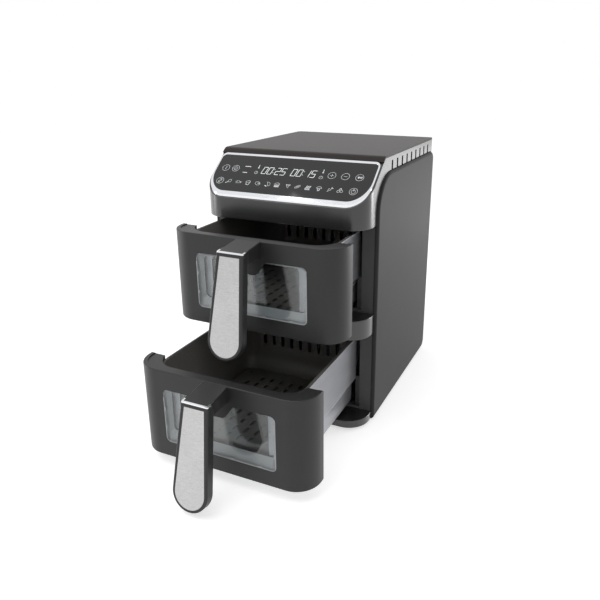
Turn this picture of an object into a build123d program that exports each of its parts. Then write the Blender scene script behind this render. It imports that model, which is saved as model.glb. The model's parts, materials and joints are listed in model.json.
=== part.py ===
"""A free-standing air fryer with two drawers, one above the other.

Millimetres. X points to the right as seen from the front, the front faces -Y and Z points up.
Everything is drawn with the front of the closed drawers at Y = 0. Each drawer is then pulled out
to the place it has in the photograph, and the whole is centred over the origin.
"""
import math
import os

from build123d import *

os.makedirs("parts", exist_ok=True)

# Case
HALF_WIDTH = 133.0            # to the outside of a side panel
CORNER_R = 34.0               # upright front corners of base, drawers, rail and head
SHELL_WALL = 3.0              # moulded walls
EDGE_R = 1.4                  # small rounds along moulded edges
SIDE_SHEET = 5.5              # side panels at their edges
SIDE_PROUD = 4.0              # how far a side panel stands out from the head
SIDE_EDGE_R = 4.5             # rolled edge of a side panel
SIDE_RIM = 9.0                # full-thickness border of a side panel, round its hollow inside
SIDE_TOP_R = 55.0             # large round at the top front of a side panel
SIDE_REAR_R = 14.0
SIDE_BAND = 20.0              # vented band of the head above a side panel
SIDE_GAP = 0.8                # shut line round a side panel
BOSS_SIZE = 14.0              # screw bosses at the rear
BOSS_DEPTH = 15.0
BOSS_HEIGHT = 20.0
BOSS_INSET = 19.5             # from the case side to the middle of a boss
CASE_SCREW_R = 1.5
CASE_SCREW_LENGTH = 13.0

# Levels, from the table up
FOOT_HEIGHT = 4.5
BASE_HEIGHT = 12.0
DRAWER_HEIGHT = 128.0
DRAWER_GAP = 1.5              # shut lines round a drawer front
RAIL_HEIGHT = 29.5
HEAD_STRIP = 30.0             # upright strip under the control slope
SLOPE_RISE = 59.0             # the control slope climbs this much
SLOPE_RUN = 73.0              # while it goes back this far
COVER_SHEET = 3.0

# Feet
FOOT_R = 11.0
FOOT_EDGE_R = 1.0
FOOT_PLUG_R = 4.0
FOOT_PLUG = 5.0
FOOT_SIDE = 41.0              # from the outside of the case to the middle of a foot
FOOT_FRONT_Y = 48.0           # middle of a front foot
FOOT_REAR = 42.0              # from the rear to the middle of a rear foot

# Top cover and control panel
COVER_LIP = 9.0               # how far the cover comes down the slope
COVER_GAP = 0.3               # between its edge and the bezel
COVER_PROUD = 0.5             # it stands out from the head at the sides
COVER_BEND = 14.0
COVER_CORNER = 6.0
BEZEL_HEIGHT = 2.4
BEZEL_INSET = 2.0
BEZEL_RIM = 2.4
BEZEL_FRONT_RIM = 5.0
BEZEL_REAR_R = 8.0
GLASS_SHEET = 2.0
GLASS_GAP = 0.15
BOARD_SHEET = 1.6
BOARD_MARGIN = 12.0           # display board beyond the slot it shows through
DISPLAY_SIDE = 34.0           # from the side of the head to the slot
DISPLAY_END = 24.0            # from either end of the slope to the slot

# Vents
VENT_COUNT = 9
VENT_WIDTH = 6.5
VENT_HEIGHT = 14.0            # above the side panel
VENT_FRONT = 105.0            # middle of the first vent, from the front
VENT_REAR = 31.0              # middle of the last vent, from the rear
REAR_SLOT_ROWS = 7
REAR_SLOT_PITCH = 11.0
REAR_SLOT_HEIGHT = 4.0

# Rear cover
SPACER_LENGTH = 15.0          # keeps the case off a wall
SPACER_R = 9.0
SPACER_SIDE = 42.5            # from the case side
SPACER_RISE = 35.0            # above the drawers
GLAND_SIDE = 37.5
GLAND_RISE = 40.0
GLAND_R = 7.0
GLAND_FLANGE_R = 12.0
GLAND_FLANGE = 3.0
GLAND_LENGTH = 12.0
CORD_R = 3.6

# Drawers
UPPER_HOLD = 105.0            # length of each basket that is on its runners in the photograph
LOWER_HOLD = 14.0
PANEL_DEPTH = 40.0            # front panel with its two wings, front to back
PANEL_MIDDLE = 15.0           # the same between the wings
PANEL_BACK_SHEET = 2.5
WING_WIDTH = 21.5
WING_GAP = 1.0                # between basket rim and wing
STEP_MARGIN = 6.0             # raised edge along the top of a front panel
STEP_DEPTH = 1.2
CLOSE_GAP = 2.0               # behind a closed drawer front

# Baskets, measured up from the bottom of the front panel
BASKET_LENGTH = 225.0
BASKET_R = 26.0
BASKET_WALL = 1.2
BASKET_RIM = 3.5
BASKET_LOW = 6.0
BASKET_STEP = 50.0            # the step that rides on the runners
BASKET_DROP = 6.0             # rim below the top of the front panel
BASKET_BOTTOM_R = 8.0
STEP_WIDTH = 7.0
BEAD_DROP = 10.0              # stiffening bead along each side, below the step
BEAD_R = 1.5
AIR_SLOT = 6.0
AIR_SLOT_PITCH = 16.0
AIR_SLOT_MARGIN = 16.0        # above the step and below the rim
TRAY_GAP = 2.0
TRAY_FRONT = 9.0              # behind the front of the basket
TRAY_STAND = 13.0
TRAY_SHEET = 1.5
TRAY_SLOT = 12.0
TRAY_SLOT_WIDTH = 5.0
TRAY_PITCH_X = 17.0
TRAY_PITCH_Y = 19.0
TRAY_MARGIN = 14.0            # from the edge of the tray to a bumper
BUMPER_R = 5.0
BUMPER_PIN_R = 2.5
SCREW_R = 1.5
SCREW_HOLE = 0.1              # round a screw that passes through
SCREW_X = 50.0                # from the middle to a basket screw
SCREW_ROOM = 0.7              # flat wall left beside a screw head
SCREW_HEAD = 2.2              # height of a screw head
SCREW_HEAD_SHARE = 2.1        # head radius for each unit of screw radius
SCREW_SLOT = 0.8

# Windows, measured on the front panel
WINDOW_SIDE = 46.0            # from the side of the panel to the window
WINDOW_DROP = 27.0            # below the top of the panel
WINDOW_R = 7.0
TAB_TOP = 25.0                # half width of the tongue that hangs into the window
TAB_LOW = 10.0
TAB_DROP = 20.0
TAB_R = 9.0
LENS_FLANGE = 3.0
LENS_FLANGE_SHEET = 2.0
LENS_SET_BACK = 0.5
TUNNEL_INSET = 6.0            # the window frame narrows this much to the back
TUNNEL_SILL = 12.0            # and rises this much along the bottom
TUNNEL_WALL = 1.0             # its thin front edge
PANE_EDGE = 4.0               # flat wall left beside the ring that holds the basket glass
PANE_INSET = 1.0              # basket glass inside the window above and below
PANE_LAP = 4.0
PANE_R = 8.0
PANE_SHEET = 3.0
RETAINER_RIM = 3.0
RETAINER_LAP = 2.0
RETAINER_SHEET = 1.0

# Handles
HANDLE_OUT = 43.0             # front of the handle at its top, ahead of the front panel
HANDLE_DIP = 5.0              # its top slopes down this much on the way
HANDLE_LEAN = 0.2             # it comes this much further forward for each step down
HANDLE_HALF_TOP = 18.0
HANDLE_HALF_LOW = 25.0
HANDLE_BELOW = 11.0           # it ends this far below the front panel
HANDLE_THICK = 16.0
BRIDGE_HEIGHT = 22.0
BRIDGE_LAP = 7.0              # how far the bridge stays behind the front of the grip
BRIDGE_EDGE_R = 1.2
GRIP_FRONT_R = 1.8
GRIP_BACK_R = 5.0
INLAY_MARGIN = 4.0
INLAY_SHEET = 0.8
INLAY_TOP = 5.5               # below the top front edge of the handle
TRIM_BAND = 1.4               # chrome along the top front edge
TRIM_SIDE = 1.2
TRIM_RETURN = 6.0             # and back along both sides
HANDLE_SCREW_R = 2.0
HANDLE_SCREW_LENGTH = 14.0

# Chambers
FRAME_SHEET = 3.0
CHEEK_DEPTH = 18.0
OPENING_CLEAR = 2.5           # round the rim of a basket
OPENING_MARGIN = 2.0          # chamber inside the shut lines of a drawer front
LINER_SHEET = 1.0
RUNNER_CLEAR = 0.3
RUNNER_SHEET = 1.5
RUNNER_SIDE = 12.0
RUNNER_GAP = 2.5              # beside the lower part of a basket
RUNNER_END = 5.0
GUARD_GAP = 12.0              # between a closed basket and the heater guard
GUARD_SHEET = 1.0
GUARD_SLOT = 6.0
GUARD_PITCH = 11.0
FAN_BEHIND = 17.0             # fan and heater behind the guard
FAN_DEPTH = 12.0
FAN_GAP = 3.75
HEATER_TUBE = 6.5
HEATER_BEND = 8.0
HEATER_GAP = 4.75             # to the chamber roof
HEATER_OPEN = 25.0            # half angle of the gap in the ring
HEATER_PLATE = 1.5
HEATER_LEG = 8.0              # legs behind the liner
LINER_BEHIND = 17.0           # rear of the liner behind the fan
FAN_BLADES = 8
COOLER_BLADES = 7
HUB_R = 12.0
BLADE_SHEET = 1.2
SHAFT_R = 4.0
SHAFT_CLEAR = 0.05
SHAFT_HOLE = 5.0              # round the shaft where it passes the liner
COOLER_GAP = 2.5
COOLER_DEPTH = 9.0
MOTOR_STAND = 14.0
MOTOR_R = 30.0
MOTOR_LENGTH = 21.0
MOTOR_FLANGE = 2.0
MOTOR_POST_R = 3.5
MOTOR_EDGE_R = 3.0
REAR_ROOM = 6.0               # between motor and rear cover

# Power board and drawer sensors
POWER_WIDTH = 140.0
POWER_DEPTH = 110.0
POWER_STAND = 14.0
POWER_POST_R = 3.5
TRANSFORMER = 32.0            # square base of the transformer
TRANSFORMER_HEIGHT = 26.0
RELAY_WIDTH = 28.0
RELAY_SIZE = 16.0
CAN_R = 6.0                   # capacitors
CAN_HEIGHT = 20.0
SENSOR_GAP = 2.25             # to the liner and to the cheek of the frame
SENSOR_DEPTH = 5.0
SENSOR_HEIGHT = 24.0
SENSOR_DROP = 26.0            # top of a sensor and its magnet below the top of the drawer
MAGNET_DEPTH = 4.0

# Places that follow from these
BASE_TOP = FOOT_HEIGHT + BASE_HEIGHT
LOWER_Z = BASE_TOP + DRAWER_GAP
RAIL_BOTTOM = LOWER_Z + DRAWER_HEIGHT + DRAWER_GAP
RAIL_TOP = RAIL_BOTTOM + RAIL_HEIGHT
UPPER_Z = RAIL_TOP + DRAWER_GAP
HEAD_BOTTOM = UPPER_Z + DRAWER_HEIGHT + DRAWER_GAP
SLOPE_LOW = HEAD_BOTTOM + HEAD_STRIP
HEAD_TOP = SLOPE_LOW + SLOPE_RISE
HEIGHT = HEAD_TOP + COVER_SHEET
SIDE_TOP = HEAD_TOP - SIDE_BAND
CASE_HALF = HALF_WIDTH - SIDE_SHEET
HEAD_HALF = HALF_WIDTH - SIDE_PROUD
SIDE_FRONT = PANEL_DEPTH + DRAWER_GAP
FRAME_FRONT = PANEL_DEPTH + CLOSE_GAP
FRAME_REAR = FRAME_FRONT + FRAME_SHEET
RECESS_HALF = HEAD_HALF - WING_WIDTH
BASKET_HALF = RECESS_HALF - WING_GAP - BASKET_RIM
BASKET_TOP = DRAWER_HEIGHT - BASKET_DROP
BASKET_REAR = PANEL_MIDDLE + BASKET_LENGTH
NARROW_HALF = BASKET_HALF - STEP_WIDTH
OPENING_HALF = BASKET_HALF + BASKET_RIM + OPENING_CLEAR
WINDOW_HALF = HEAD_HALF - WINDOW_SIDE
WINDOW_HIGH = DRAWER_HEIGHT - WINDOW_DROP
SCREW_HEAD_R = SCREW_HEAD_SHARE * SCREW_R
SCREW_BAND = 2 * SCREW_HEAD_R + SCREW_ROOM
WINDOW_LOW = BASKET_LOW + BASKET_BOTTOM_R + SCREW_BAND + RETAINER_RIM - PANE_INSET
PANE_HALF = BASKET_HALF - BASKET_R - PANE_EDGE - RETAINER_RIM
PANE_LOW = WINDOW_LOW + PANE_INSET
PANE_HIGH = WINDOW_HIGH - PANE_INSET
RUNNER_FRONT = FRAME_REAR + RUNNER_END
UPPER_OUT = BASKET_REAR - RUNNER_FRONT - UPPER_HOLD
LOWER_OUT = BASKET_REAR - RUNNER_FRONT - LOWER_HOLD
GUARD_FRONT = BASKET_REAR + GUARD_GAP
FAN_PLANE = GUARD_FRONT + FAN_BEHIND
LINER_REAR = FAN_PLANE + LINER_BEHIND
MOTOR_FRONT = LINER_REAR + MOTOR_STAND
MOTOR_REAR = MOTOR_FRONT + MOTOR_LENGTH
REAR = MOTOR_REAR + REAR_ROOM + SHELL_WALL
REAR_INNER = REAR - SHELL_WALL
REAR_MOST = REAR + SPACER_LENGTH
CHAMBER_HALF = DRAWER_HEIGHT / 2 - OPENING_MARGIN
HEATER_R = CHAMBER_HALF - HEATER_GAP - HEATER_TUBE / 2
FAN_R = HEATER_R - HEATER_TUBE / 2 - FAN_GAP
FOOT_X = HALF_WIDTH - FOOT_SIDE
FOOT_REAR_Y = REAR - FOOT_REAR
BOSS_X = CASE_HALF - BOSS_INSET
SENSOR_IN = OPENING_HALF + LINER_SHEET + SENSOR_GAP
SENSOR_OUT = CASE_HALF - SHELL_WALL - SENSOR_GAP
SENSOR_HIGH = DRAWER_HEIGHT - SENSOR_DROP
SENSOR_LOW = SENSOR_HIGH - SENSOR_HEIGHT
TRAY_Z = BASKET_LOW + BASKET_WALL + TRAY_STAND
HANDLE_DROP = DRAWER_HEIGHT + HANDLE_BELOW
HANDLE_REACH = HANDLE_OUT + HANDLE_LEAN * HANDLE_DROP
FRONT_MOST = -(LOWER_OUT + HANDLE_REACH)
CENTRE_Y = (FRONT_MOST + REAR_MOST) / 2
FAR = 1000.0                  # longer than anything here, for cuts that go right through


def save(node, shape):
    """Write one node, moved so that the whole is centred over the origin."""
    export_step(Pos(0, -CENTRE_Y, 0) * shape, f"parts/{node}.step")


def block(x0, x1, y0, y1, z0, z1):
    """A box from corner to corner."""
    centre = Pos((x0 + x1) / 2, (y0 + y1) / 2, (z0 + z1) / 2)
    return centre * Box(abs(x1 - x0), abs(y1 - y0), abs(z1 - z0))


def rod(radius, x, z, y0, y1):
    """A round bar along Y."""
    return Pos(x, (y0 + y1) / 2, z) * Rot(90, 0, 0) * Cylinder(radius, y1 - y0)


def post(radius, x, y, z0, z1):
    """A round bar along Z."""
    return Pos(x, y, (z0 + z1) / 2) * Cylinder(radius, z1 - z0)


def plan(half, front, rear, front_r, rear_r=0.0):
    """Outline seen from above: a rectangle with its own radius at the front and at the rear."""
    outline = Pos(0, (front + rear) / 2) * Rectangle(2 * half, rear - front)
    outline = fillet(outline.vertices().sort_by(Axis.Y)[:2], front_r)
    if rear_r:
        outline = fillet(outline.vertices().sort_by(Axis.Y)[-2:], rear_r)
    return outline


def prism(outline, z0, z1):
    """Raise an outline seen from above between two levels."""
    return extrude(Pos(0, 0, z0) * outline, z1 - z0)


def profile(points, half):
    """Draw an outline seen from the side, as (y, z) points, to both sides of the middle."""
    return extrude(Plane.YZ * make_face(Polyline(*points, close=True)), half, both=True)


def upright_plane(y):
    """The plane of an outline seen from the front, drawn as (x, z)."""
    return Plane(origin=(0, y, 0), x_dir=(1, 0, 0), z_dir=(0, -1, 0))


def upright(outline, y0, y1):
    """Raise an outline seen from the front from y0 back to y1."""
    return extrude(upright_plane(y0) * outline, -(y1 - y0))


def plate(half, low, high, radius):
    """A rounded rectangle seen from the front."""
    return Pos(0, (low + high) / 2) * RectangleRounded(2 * half, high - low, radius)


def ring(half, low, high, radius, rim):
    """A rounded rectangular ring seen from the front, with its rim outside the given opening."""
    return plate(half + rim, low - rim, high + rim, radius + rim) - plate(half, low, high, radius)


def both_sides(shape):
    """The shape and its mirror image, as two solids."""
    return Compound([shape, mirror(shape, Plane.YZ)])


def soften(shape, radius):
    """Round the edges of the top and the bottom face."""
    flat = shape.edges().filter_by(lambda edge: abs(edge.tangent_at(0.5).Z) < 0.01)
    levels = flat.group_by(Axis.Z)
    return fillet(levels[0] + levels[-1], radius)


def screw(x, z, y_seat, y_tip, radius):
    """A pan-head screw along Y, with its slotted head on the seat and its tip in front of it."""
    head_r = SCREW_HEAD_SHARE * radius
    head_end = y_seat + SCREW_HEAD
    slot = block(-head_r, head_r, y_seat + SCREW_HEAD / 2, head_end, -SCREW_SLOT / 2, SCREW_SLOT / 2)
    head = rod(head_r, x, z, y_seat, head_end) - Pos(x, 0, z) * slot
    return head + rod(radius, x, z, y_tip, y_seat)


# Control slope: its own plane, with X across and Y up the slope
SLOPE_LENGTH = math.hypot(SLOPE_RUN, SLOPE_RISE)
slope_plane = Plane(
    origin=(0, 0, SLOPE_LOW),
    x_dir=(1, 0, 0),
    z_dir=(0, -SLOPE_RISE / SLOPE_LENGTH, SLOPE_RUN / SLOPE_LENGTH),
)


def slope_point(along, off):
    """(y, z) of a point measured up the slope and off its face."""
    point = slope_plane.from_local_coords(Vector(0, along, off))
    return (point.Y, point.Z)


def slope_box(half, along0, along1, off0, off1):
    """A box on the slope."""
    middle = Pos(0, (along0 + along1) / 2, (off0 + off1) / 2)
    return slope_plane * (middle * Box(2 * half, along1 - along0, off1 - off0))


def case_screw_places():
    """Where the rear cover is screwed to the base and to the head."""
    low = BASE_TOP + BOSS_HEIGHT / 2
    high = HEAD_TOP - SHELL_WALL - BOSS_HEIGHT / 2
    return [(x, z) for x in (-BOSS_X, BOSS_X) for z in (low, high)]


def rear_boss(x, z):
    """A square boss on the inside of the rear cover, with a pilot hole."""
    half = BOSS_SIZE / 2
    tall = BOSS_HEIGHT / 2
    boss = block(x - half, x + half, REAR_INNER - BOSS_DEPTH, REAR_INNER, z - tall, z + tall)
    return boss - rod(CASE_SCREW_R, x, z, REAR - CASE_SCREW_LENGTH, REAR)


def make_base():
    """Base pan, with a closed front ledge and an open tray behind it, and its rubber feet."""
    front = soften(prism(plan(HEAD_HALF, 0, PANEL_DEPTH, CORNER_R), FOOT_HEIGHT, BASE_TOP), EDGE_R)
    base = front + block(-CASE_HALF, CASE_HALF, CORNER_R, REAR, FOOT_HEIGHT, BASE_TOP)
    inner = CASE_HALF - 2 * SHELL_WALL
    tray_front = FRAME_REAR + SHELL_WALL
    tray_rear = REAR_INNER - BOSS_DEPTH
    base -= block(-inner, inner, tray_front, tray_rear, FOOT_HEIGHT + SHELL_WALL, BASE_TOP + 1)
    base -= block(-FAR, FAR, REAR_INNER, FAR, BASE_TOP - SHELL_WALL, FAR)
    for x, z in case_screw_places():
        if z < HEAD_BOTTOM:
            base += rear_boss(x, z)
    feet = []
    boss_top = FOOT_HEIGHT + FOOT_PLUG + SHELL_WALL
    for x in (-FOOT_X, FOOT_X):
        for y in (FOOT_FRONT_Y, FOOT_REAR_Y):
            base += post(FOOT_PLUG_R + SHELL_WALL, x, y, FOOT_HEIGHT, boss_top)
            base -= post(FOOT_PLUG_R, x, y, FOOT_HEIGHT - 1, FOOT_HEIGHT + FOOT_PLUG)
            foot = fillet(post(FOOT_R, x, y, 0, FOOT_HEIGHT).edges().group_by(Axis.Z)[0], FOOT_EDGE_R)
            feet.append(foot + post(FOOT_PLUG_R, x, y, FOOT_HEIGHT, FOOT_HEIGHT + FOOT_PLUG))
    save("base_pan", base)
    save("base_feet", Compound(feet))


def side_outline(grow=0.0):
    """Outline of a side panel as (y, z), grown for its shut line."""
    low = FOOT_HEIGHT - grow
    front = SIDE_FRONT - grow
    width = REAR + grow - front
    height = SIDE_TOP + grow - low
    outline = Pos(front + width / 2, low + height / 2) * Rectangle(width, height)
    outline = fillet([outline.vertices().sort_by(lambda v: v.X - v.Y)[0]], SIDE_TOP_R)
    return fillet(outline.vertices().group_by(Axis.X)[-1], SIDE_REAR_R)


def make_sides():
    """The two large side panels, hollowed on the inside."""
    inner_face = Plane.YZ.offset(CASE_HALF)
    side = extrude(inner_face * side_outline(), SIDE_SHEET)
    side = fillet(side.faces().sort_by(Axis.X)[-1].edges(), SIDE_EDGE_R)
    side -= extrude(inner_face * side_outline(-SIDE_RIM), SIDE_SHEET - SHELL_WALL)
    save("side_panel_right", side)
    save("side_panel_left", mirror(side, Plane.YZ))


def make_head():
    """Head shell: an upright strip, the control slope and a vented band along each side."""
    outside = prism(plan(HEAD_HALF, 0, REAR_INNER, CORNER_R), HEAD_BOTTOM, HEIGHT)
    outside = fillet(outside.edges().group_by(Axis.Z)[0], EDGE_R)
    slope_top = slope_point(SLOPE_LENGTH, 0)
    head = outside & profile(
        [
            (0, HEAD_BOTTOM),
            (0, SLOPE_LOW),
            slope_top,
            (REAR_INNER, HEAD_TOP),
            (REAR_INNER, HEAD_BOTTOM),
        ],
        FAR,
    )
    inner_top = HEAD_TOP - SHELL_WALL
    face = slope_point(0, -SHELL_WALL)
    pitch = SLOPE_RISE / SLOPE_RUN
    floor = HEAD_BOTTOM + SHELL_WALL
    below = HEAD_BOTTOM - 1
    hollow = prism(
        plan(HEAD_HALF - SHELL_WALL, SHELL_WALL, REAR, CORNER_R - SHELL_WALL), below, HEIGHT
    )
    head -= hollow & profile(
        [
            (SHELL_WALL, floor),
            (SHELL_WALL, face[1] + (SHELL_WALL - face[0]) * pitch),
            (face[0] + (inner_top - face[1]) / pitch, inner_top),
            (REAR, inner_top),
            (REAR, below),
            (FRAME_REAR, below),
            (FRAME_REAR, floor),
        ],
        FAR,
    )
    side_cut = extrude(Plane.YZ.offset(HEAD_HALF - 2 * SHELL_WALL) * side_outline(SIDE_GAP), FAR)
    head -= side_cut
    head -= mirror(side_cut, Plane.YZ)
    vent_step = (REAR - VENT_REAR - VENT_FRONT) / (VENT_COUNT - 1)
    for index in range(VENT_COUNT):
        front = VENT_FRONT + vent_step * index - VENT_WIDTH / 2
        head -= block(-FAR, FAR, front, front + VENT_WIDTH, SIDE_TOP, SIDE_TOP + VENT_HEIGHT)
    slot_half = HEAD_HALF - DISPLAY_SIDE
    slot_top = SLOPE_LENGTH - DISPLAY_END
    head -= slope_box(slot_half, DISPLAY_END, slot_top, -2 * SHELL_WALL, 1)
    for x, z in case_screw_places():
        if z > HEAD_BOTTOM:
            head += rear_boss(x, z)
    save("head_shell", head)

    board = slope_box(
        slot_half + BOARD_MARGIN,
        DISPLAY_END - BOARD_MARGIN,
        slot_top + BOARD_MARGIN,
        -SHELL_WALL - BOARD_SHEET,
        -SHELL_WALL,
    )
    display_low = SLOPE_LENGTH / 2
    board += slope_box(slot_half / 2, display_low, slot_top - 2, -SHELL_WALL - 1, -GLASS_GAP)
    save("display_board", board)


def make_top():
    """Top cover, whose front edge bends down over the slope, and the bezel and glass below it."""
    lip_low = SLOPE_LENGTH - COVER_LIP
    lean = SLOPE_RUN / SLOPE_LENGTH
    bend_along = (HEIGHT - SLOPE_LOW - BEZEL_HEIGHT * lean) * SLOPE_LENGTH / SLOPE_RISE
    bend_point = slope_point(bend_along, BEZEL_HEIGHT)
    cover = profile(
        [
            slope_point(lip_low, 0),
            slope_point(lip_low, BEZEL_HEIGHT),
            bend_point,
            (REAR, HEIGHT),
            (REAR, HEAD_TOP),
            slope_point(SLOPE_LENGTH, 0),
        ],
        HEAD_HALF + COVER_PROUD,
    )
    bend = cover.edges().filter_by(Axis.X).sort_by_distance((0, *bend_point))[0]
    cover = fillet(bend, COVER_BEND)
    cover = fillet(cover.edges().filter_by(Axis.Z).group_by(Axis.Y)[-1], COVER_CORNER)
    save("top_cover", cover)

    bezel_rear = slope_point(lip_low, BEZEL_HEIGHT)[0] - COVER_GAP
    rim = BEZEL_INSET + BEZEL_RIM
    low = SLOPE_LOW - SLOPE_RISE
    high = HEIGHT + SLOPE_RISE
    outline = plan(HEAD_HALF - BEZEL_INSET, BEZEL_INSET, bezel_rear, CORNER_R - BEZEL_INSET, BEZEL_REAR_R)
    glass_front = BEZEL_INSET + BEZEL_FRONT_RIM
    glass_rear = bezel_rear - BEZEL_RIM
    corner = CORNER_R - rim
    rear_corner = BEZEL_REAR_R - BEZEL_RIM
    opening = plan(HEAD_HALF - rim, glass_front, glass_rear, corner, rear_corner)
    gap = GLASS_GAP
    glass = plan(HEAD_HALF - rim - gap, glass_front + gap, glass_rear - gap, corner - gap, rear_corner - gap)
    bezel_slab = slope_box(FAR, -FAR, FAR, 0, BEZEL_HEIGHT)
    glass_slab = slope_box(FAR, -FAR, FAR, 0, GLASS_SHEET)
    save("control_bezel", (prism(outline, low, high) - prism(opening, low, high)) & bezel_slab)
    save("control_glass", prism(glass, low, high) & glass_slab)


def make_front():
    """Mid-rail between the drawers, and the frame that both drawers close against."""
    rail = soften(prism(plan(HEAD_HALF, 0, FRAME_FRONT, CORNER_R), RAIL_BOTTOM, RAIL_TOP), EDGE_R)
    inside = plan(HEAD_HALF - SHELL_WALL, SHELL_WALL, 2 * FRAME_FRONT, CORNER_R - SHELL_WALL)
    rail -= prism(inside, RAIL_BOTTOM + SHELL_WALL, RAIL_TOP - SHELL_WALL)
    rail -= both_sides(block(CASE_HALF - SIDE_GAP, FAR, PANEL_DEPTH, FAR, 0, HEIGHT))
    save("mid_rail", rail)

    frame = block(-CASE_HALF, CASE_HALF, FRAME_FRONT, FRAME_REAR, BASE_TOP, HEAD_BOTTOM)
    for z in (LOWER_Z, UPPER_Z):
        low = z + OPENING_MARGIN
        frame -= block(-OPENING_HALF, OPENING_HALF, 0, FAR, low, low + 2 * CHAMBER_HALF)
    cheek_in = CASE_HALF - SHELL_WALL
    cheek = block(cheek_in, CASE_HALF, FRAME_FRONT, FRAME_REAR + CHEEK_DEPTH, BASE_TOP, HEAD_BOTTOM)
    frame += cheek
    frame += mirror(cheek, Plane.YZ)
    save("front_frame", frame)


def make_rear():
    """Rear cover with vents behind each fan and wall spacers, the cord gland and the case screws."""
    cover = block(-CASE_HALF, CASE_HALF, REAR_INNER, REAR, BASE_TOP - SHELL_WALL, HEAD_TOP)
    vent_half = MOTOR_R + 2 * SHELL_WALL
    slot_half = REAR_SLOT_HEIGHT / 2
    for z in (LOWER_Z, UPPER_Z):
        level = z + DRAWER_HEIGHT / 2
        for row in range(REAR_SLOT_ROWS):
            slot_z = level + (row - (REAR_SLOT_ROWS - 1) / 2) * REAR_SLOT_PITCH
            cover -= block(-vent_half, vent_half, 0, FAR, slot_z - slot_half, slot_z + slot_half)
    spacer_x = CASE_HALF - SPACER_SIDE
    for x in (-spacer_x, spacer_x):
        cover += rod(SPACER_R, x, HEAD_BOTTOM + SPACER_RISE, REAR_INNER, REAR_MOST)
    gland_x = CASE_HALF - GLAND_SIDE
    gland_z = BASE_TOP + GLAND_RISE
    cover -= rod(GLAND_R, gland_x, gland_z, 0, FAR)
    gland = rod(GLAND_R, gland_x, gland_z, REAR_INNER - SHELL_WALL, REAR + GLAND_LENGTH)
    gland += rod(GLAND_FLANGE_R, gland_x, gland_z, REAR, REAR + GLAND_FLANGE)
    gland -= rod(CORD_R, gland_x, gland_z, 0, FAR)
    screws = []
    for x, z in case_screw_places():
        cover -= rod(CASE_SCREW_R, x, z, 0, FAR)
        screws.append(screw(x, z, REAR, REAR - CASE_SCREW_LENGTH, CASE_SCREW_R))
    save("rear_cover", cover)
    save("cord_gland", gland)
    save("case_screws", Compound(screws))


def make_power_board():
    """Power board on four posts over the upper chamber, with its larger components."""
    roof = UPPER_Z + DRAWER_HEIGHT - OPENING_MARGIN + LINER_SHEET
    level = roof + POWER_STAND
    half = POWER_WIDTH / 2
    middle = (FRAME_REAR + LINER_REAR) / 2
    front = middle - POWER_DEPTH / 2
    rear = middle + POWER_DEPTH / 2
    top = level + BOARD_SHEET
    board = block(-half, half, front, rear, level, top)
    inset = 2 * POWER_POST_R
    for x in (-half + inset, half - inset):
        for y in (front + inset, rear - inset):
            board += post(POWER_POST_R, x, y, roof, level)
    row = front + 2 * inset
    left = -(half + TRANSFORMER) / 2
    board += block(left, left + TRANSFORMER, row, row + TRANSFORMER, top, top + TRANSFORMER_HEIGHT)
    relay_x = half / 5
    for relay_y in (row, row + RELAY_WIDTH):
        board += block(relay_x, relay_x + RELAY_WIDTH, relay_y, relay_y + RELAY_SIZE, top, top + RELAY_SIZE)
    for can_x in (-half / 2, 0, half / 2):
        board += post(CAN_R, can_x, rear - 3 * inset, top, top + CAN_HEIGHT)
    save("power_board", board)


def paddle_wheel(wheel_r, front, depth, blades, disc_front):
    """A fan along Y: a hub, a disc and flat blades, with a hole for the shaft."""
    wheel = rod(wheel_r, 0, 0, disc_front, disc_front + BLADE_SHEET)
    wheel += rod(HUB_R, 0, 0, front, front + depth)
    for index in range(blades):
        blade = block(HUB_R - 1, wheel_r - 1, front, front + depth, -BLADE_SHEET / 2, BLADE_SHEET / 2)
        wheel += Rot(0, 360 * index / blades, 0) * blade
    return wheel - rod(SHAFT_R, 0, 0, front - 1, front + depth + 1)


# Heater: a ring round the fan, open below, whose two ends bend back through the liner
GAP_ANGLE = math.radians(HEATER_OPEN)
GAP_X = HEATER_R * math.sin(GAP_ANGLE)
GAP_Z = -HEATER_R * math.cos(GAP_ANGLE)
LEG_X = GAP_X - HEATER_BEND * math.cos(GAP_ANGLE)
LEG_Z = GAP_Z - HEATER_BEND * math.sin(GAP_ANGLE)


def heater_tube():
    """One bent tube: leg, ring and leg, with the plate that holds both legs."""
    leg_end = LINER_REAR + HEATER_LEG
    bend_y = FAN_PLANE + HEATER_BEND
    first_leg = Line((LEG_X, leg_end, LEG_Z), (LEG_X, bend_y, LEG_Z))
    first_bend = TangentArc((LEG_X, bend_y, LEG_Z), (GAP_X, FAN_PLANE, GAP_Z), tangent=(0, -1, 0))
    circle = ThreePointArc((GAP_X, FAN_PLANE, GAP_Z), (0, FAN_PLANE, HEATER_R), (-GAP_X, FAN_PLANE, GAP_Z))
    last_bend = TangentArc((-LEG_X, bend_y, LEG_Z), (-GAP_X, FAN_PLANE, GAP_Z), tangent=(0, -1, 0))
    last_leg = Line((-LEG_X, bend_y, LEG_Z), (-LEG_X, leg_end, LEG_Z))
    path = Wire([first_leg, first_bend, circle, last_bend, last_leg])
    section = Plane(origin=(LEG_X, leg_end, LEG_Z), z_dir=(0, -1, 0)) * Circle(HEATER_TUBE / 2)
    seat = LINER_REAR - LINER_SHEET
    side = LEG_X + HEATER_TUBE
    tall = HEATER_TUBE / 2 + HEATER_PLATE
    holder = block(-side, side, seat - HEATER_PLATE, seat, LEG_Z - tall, LEG_Z + tall)
    return sweep(section, path=path) + holder


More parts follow.
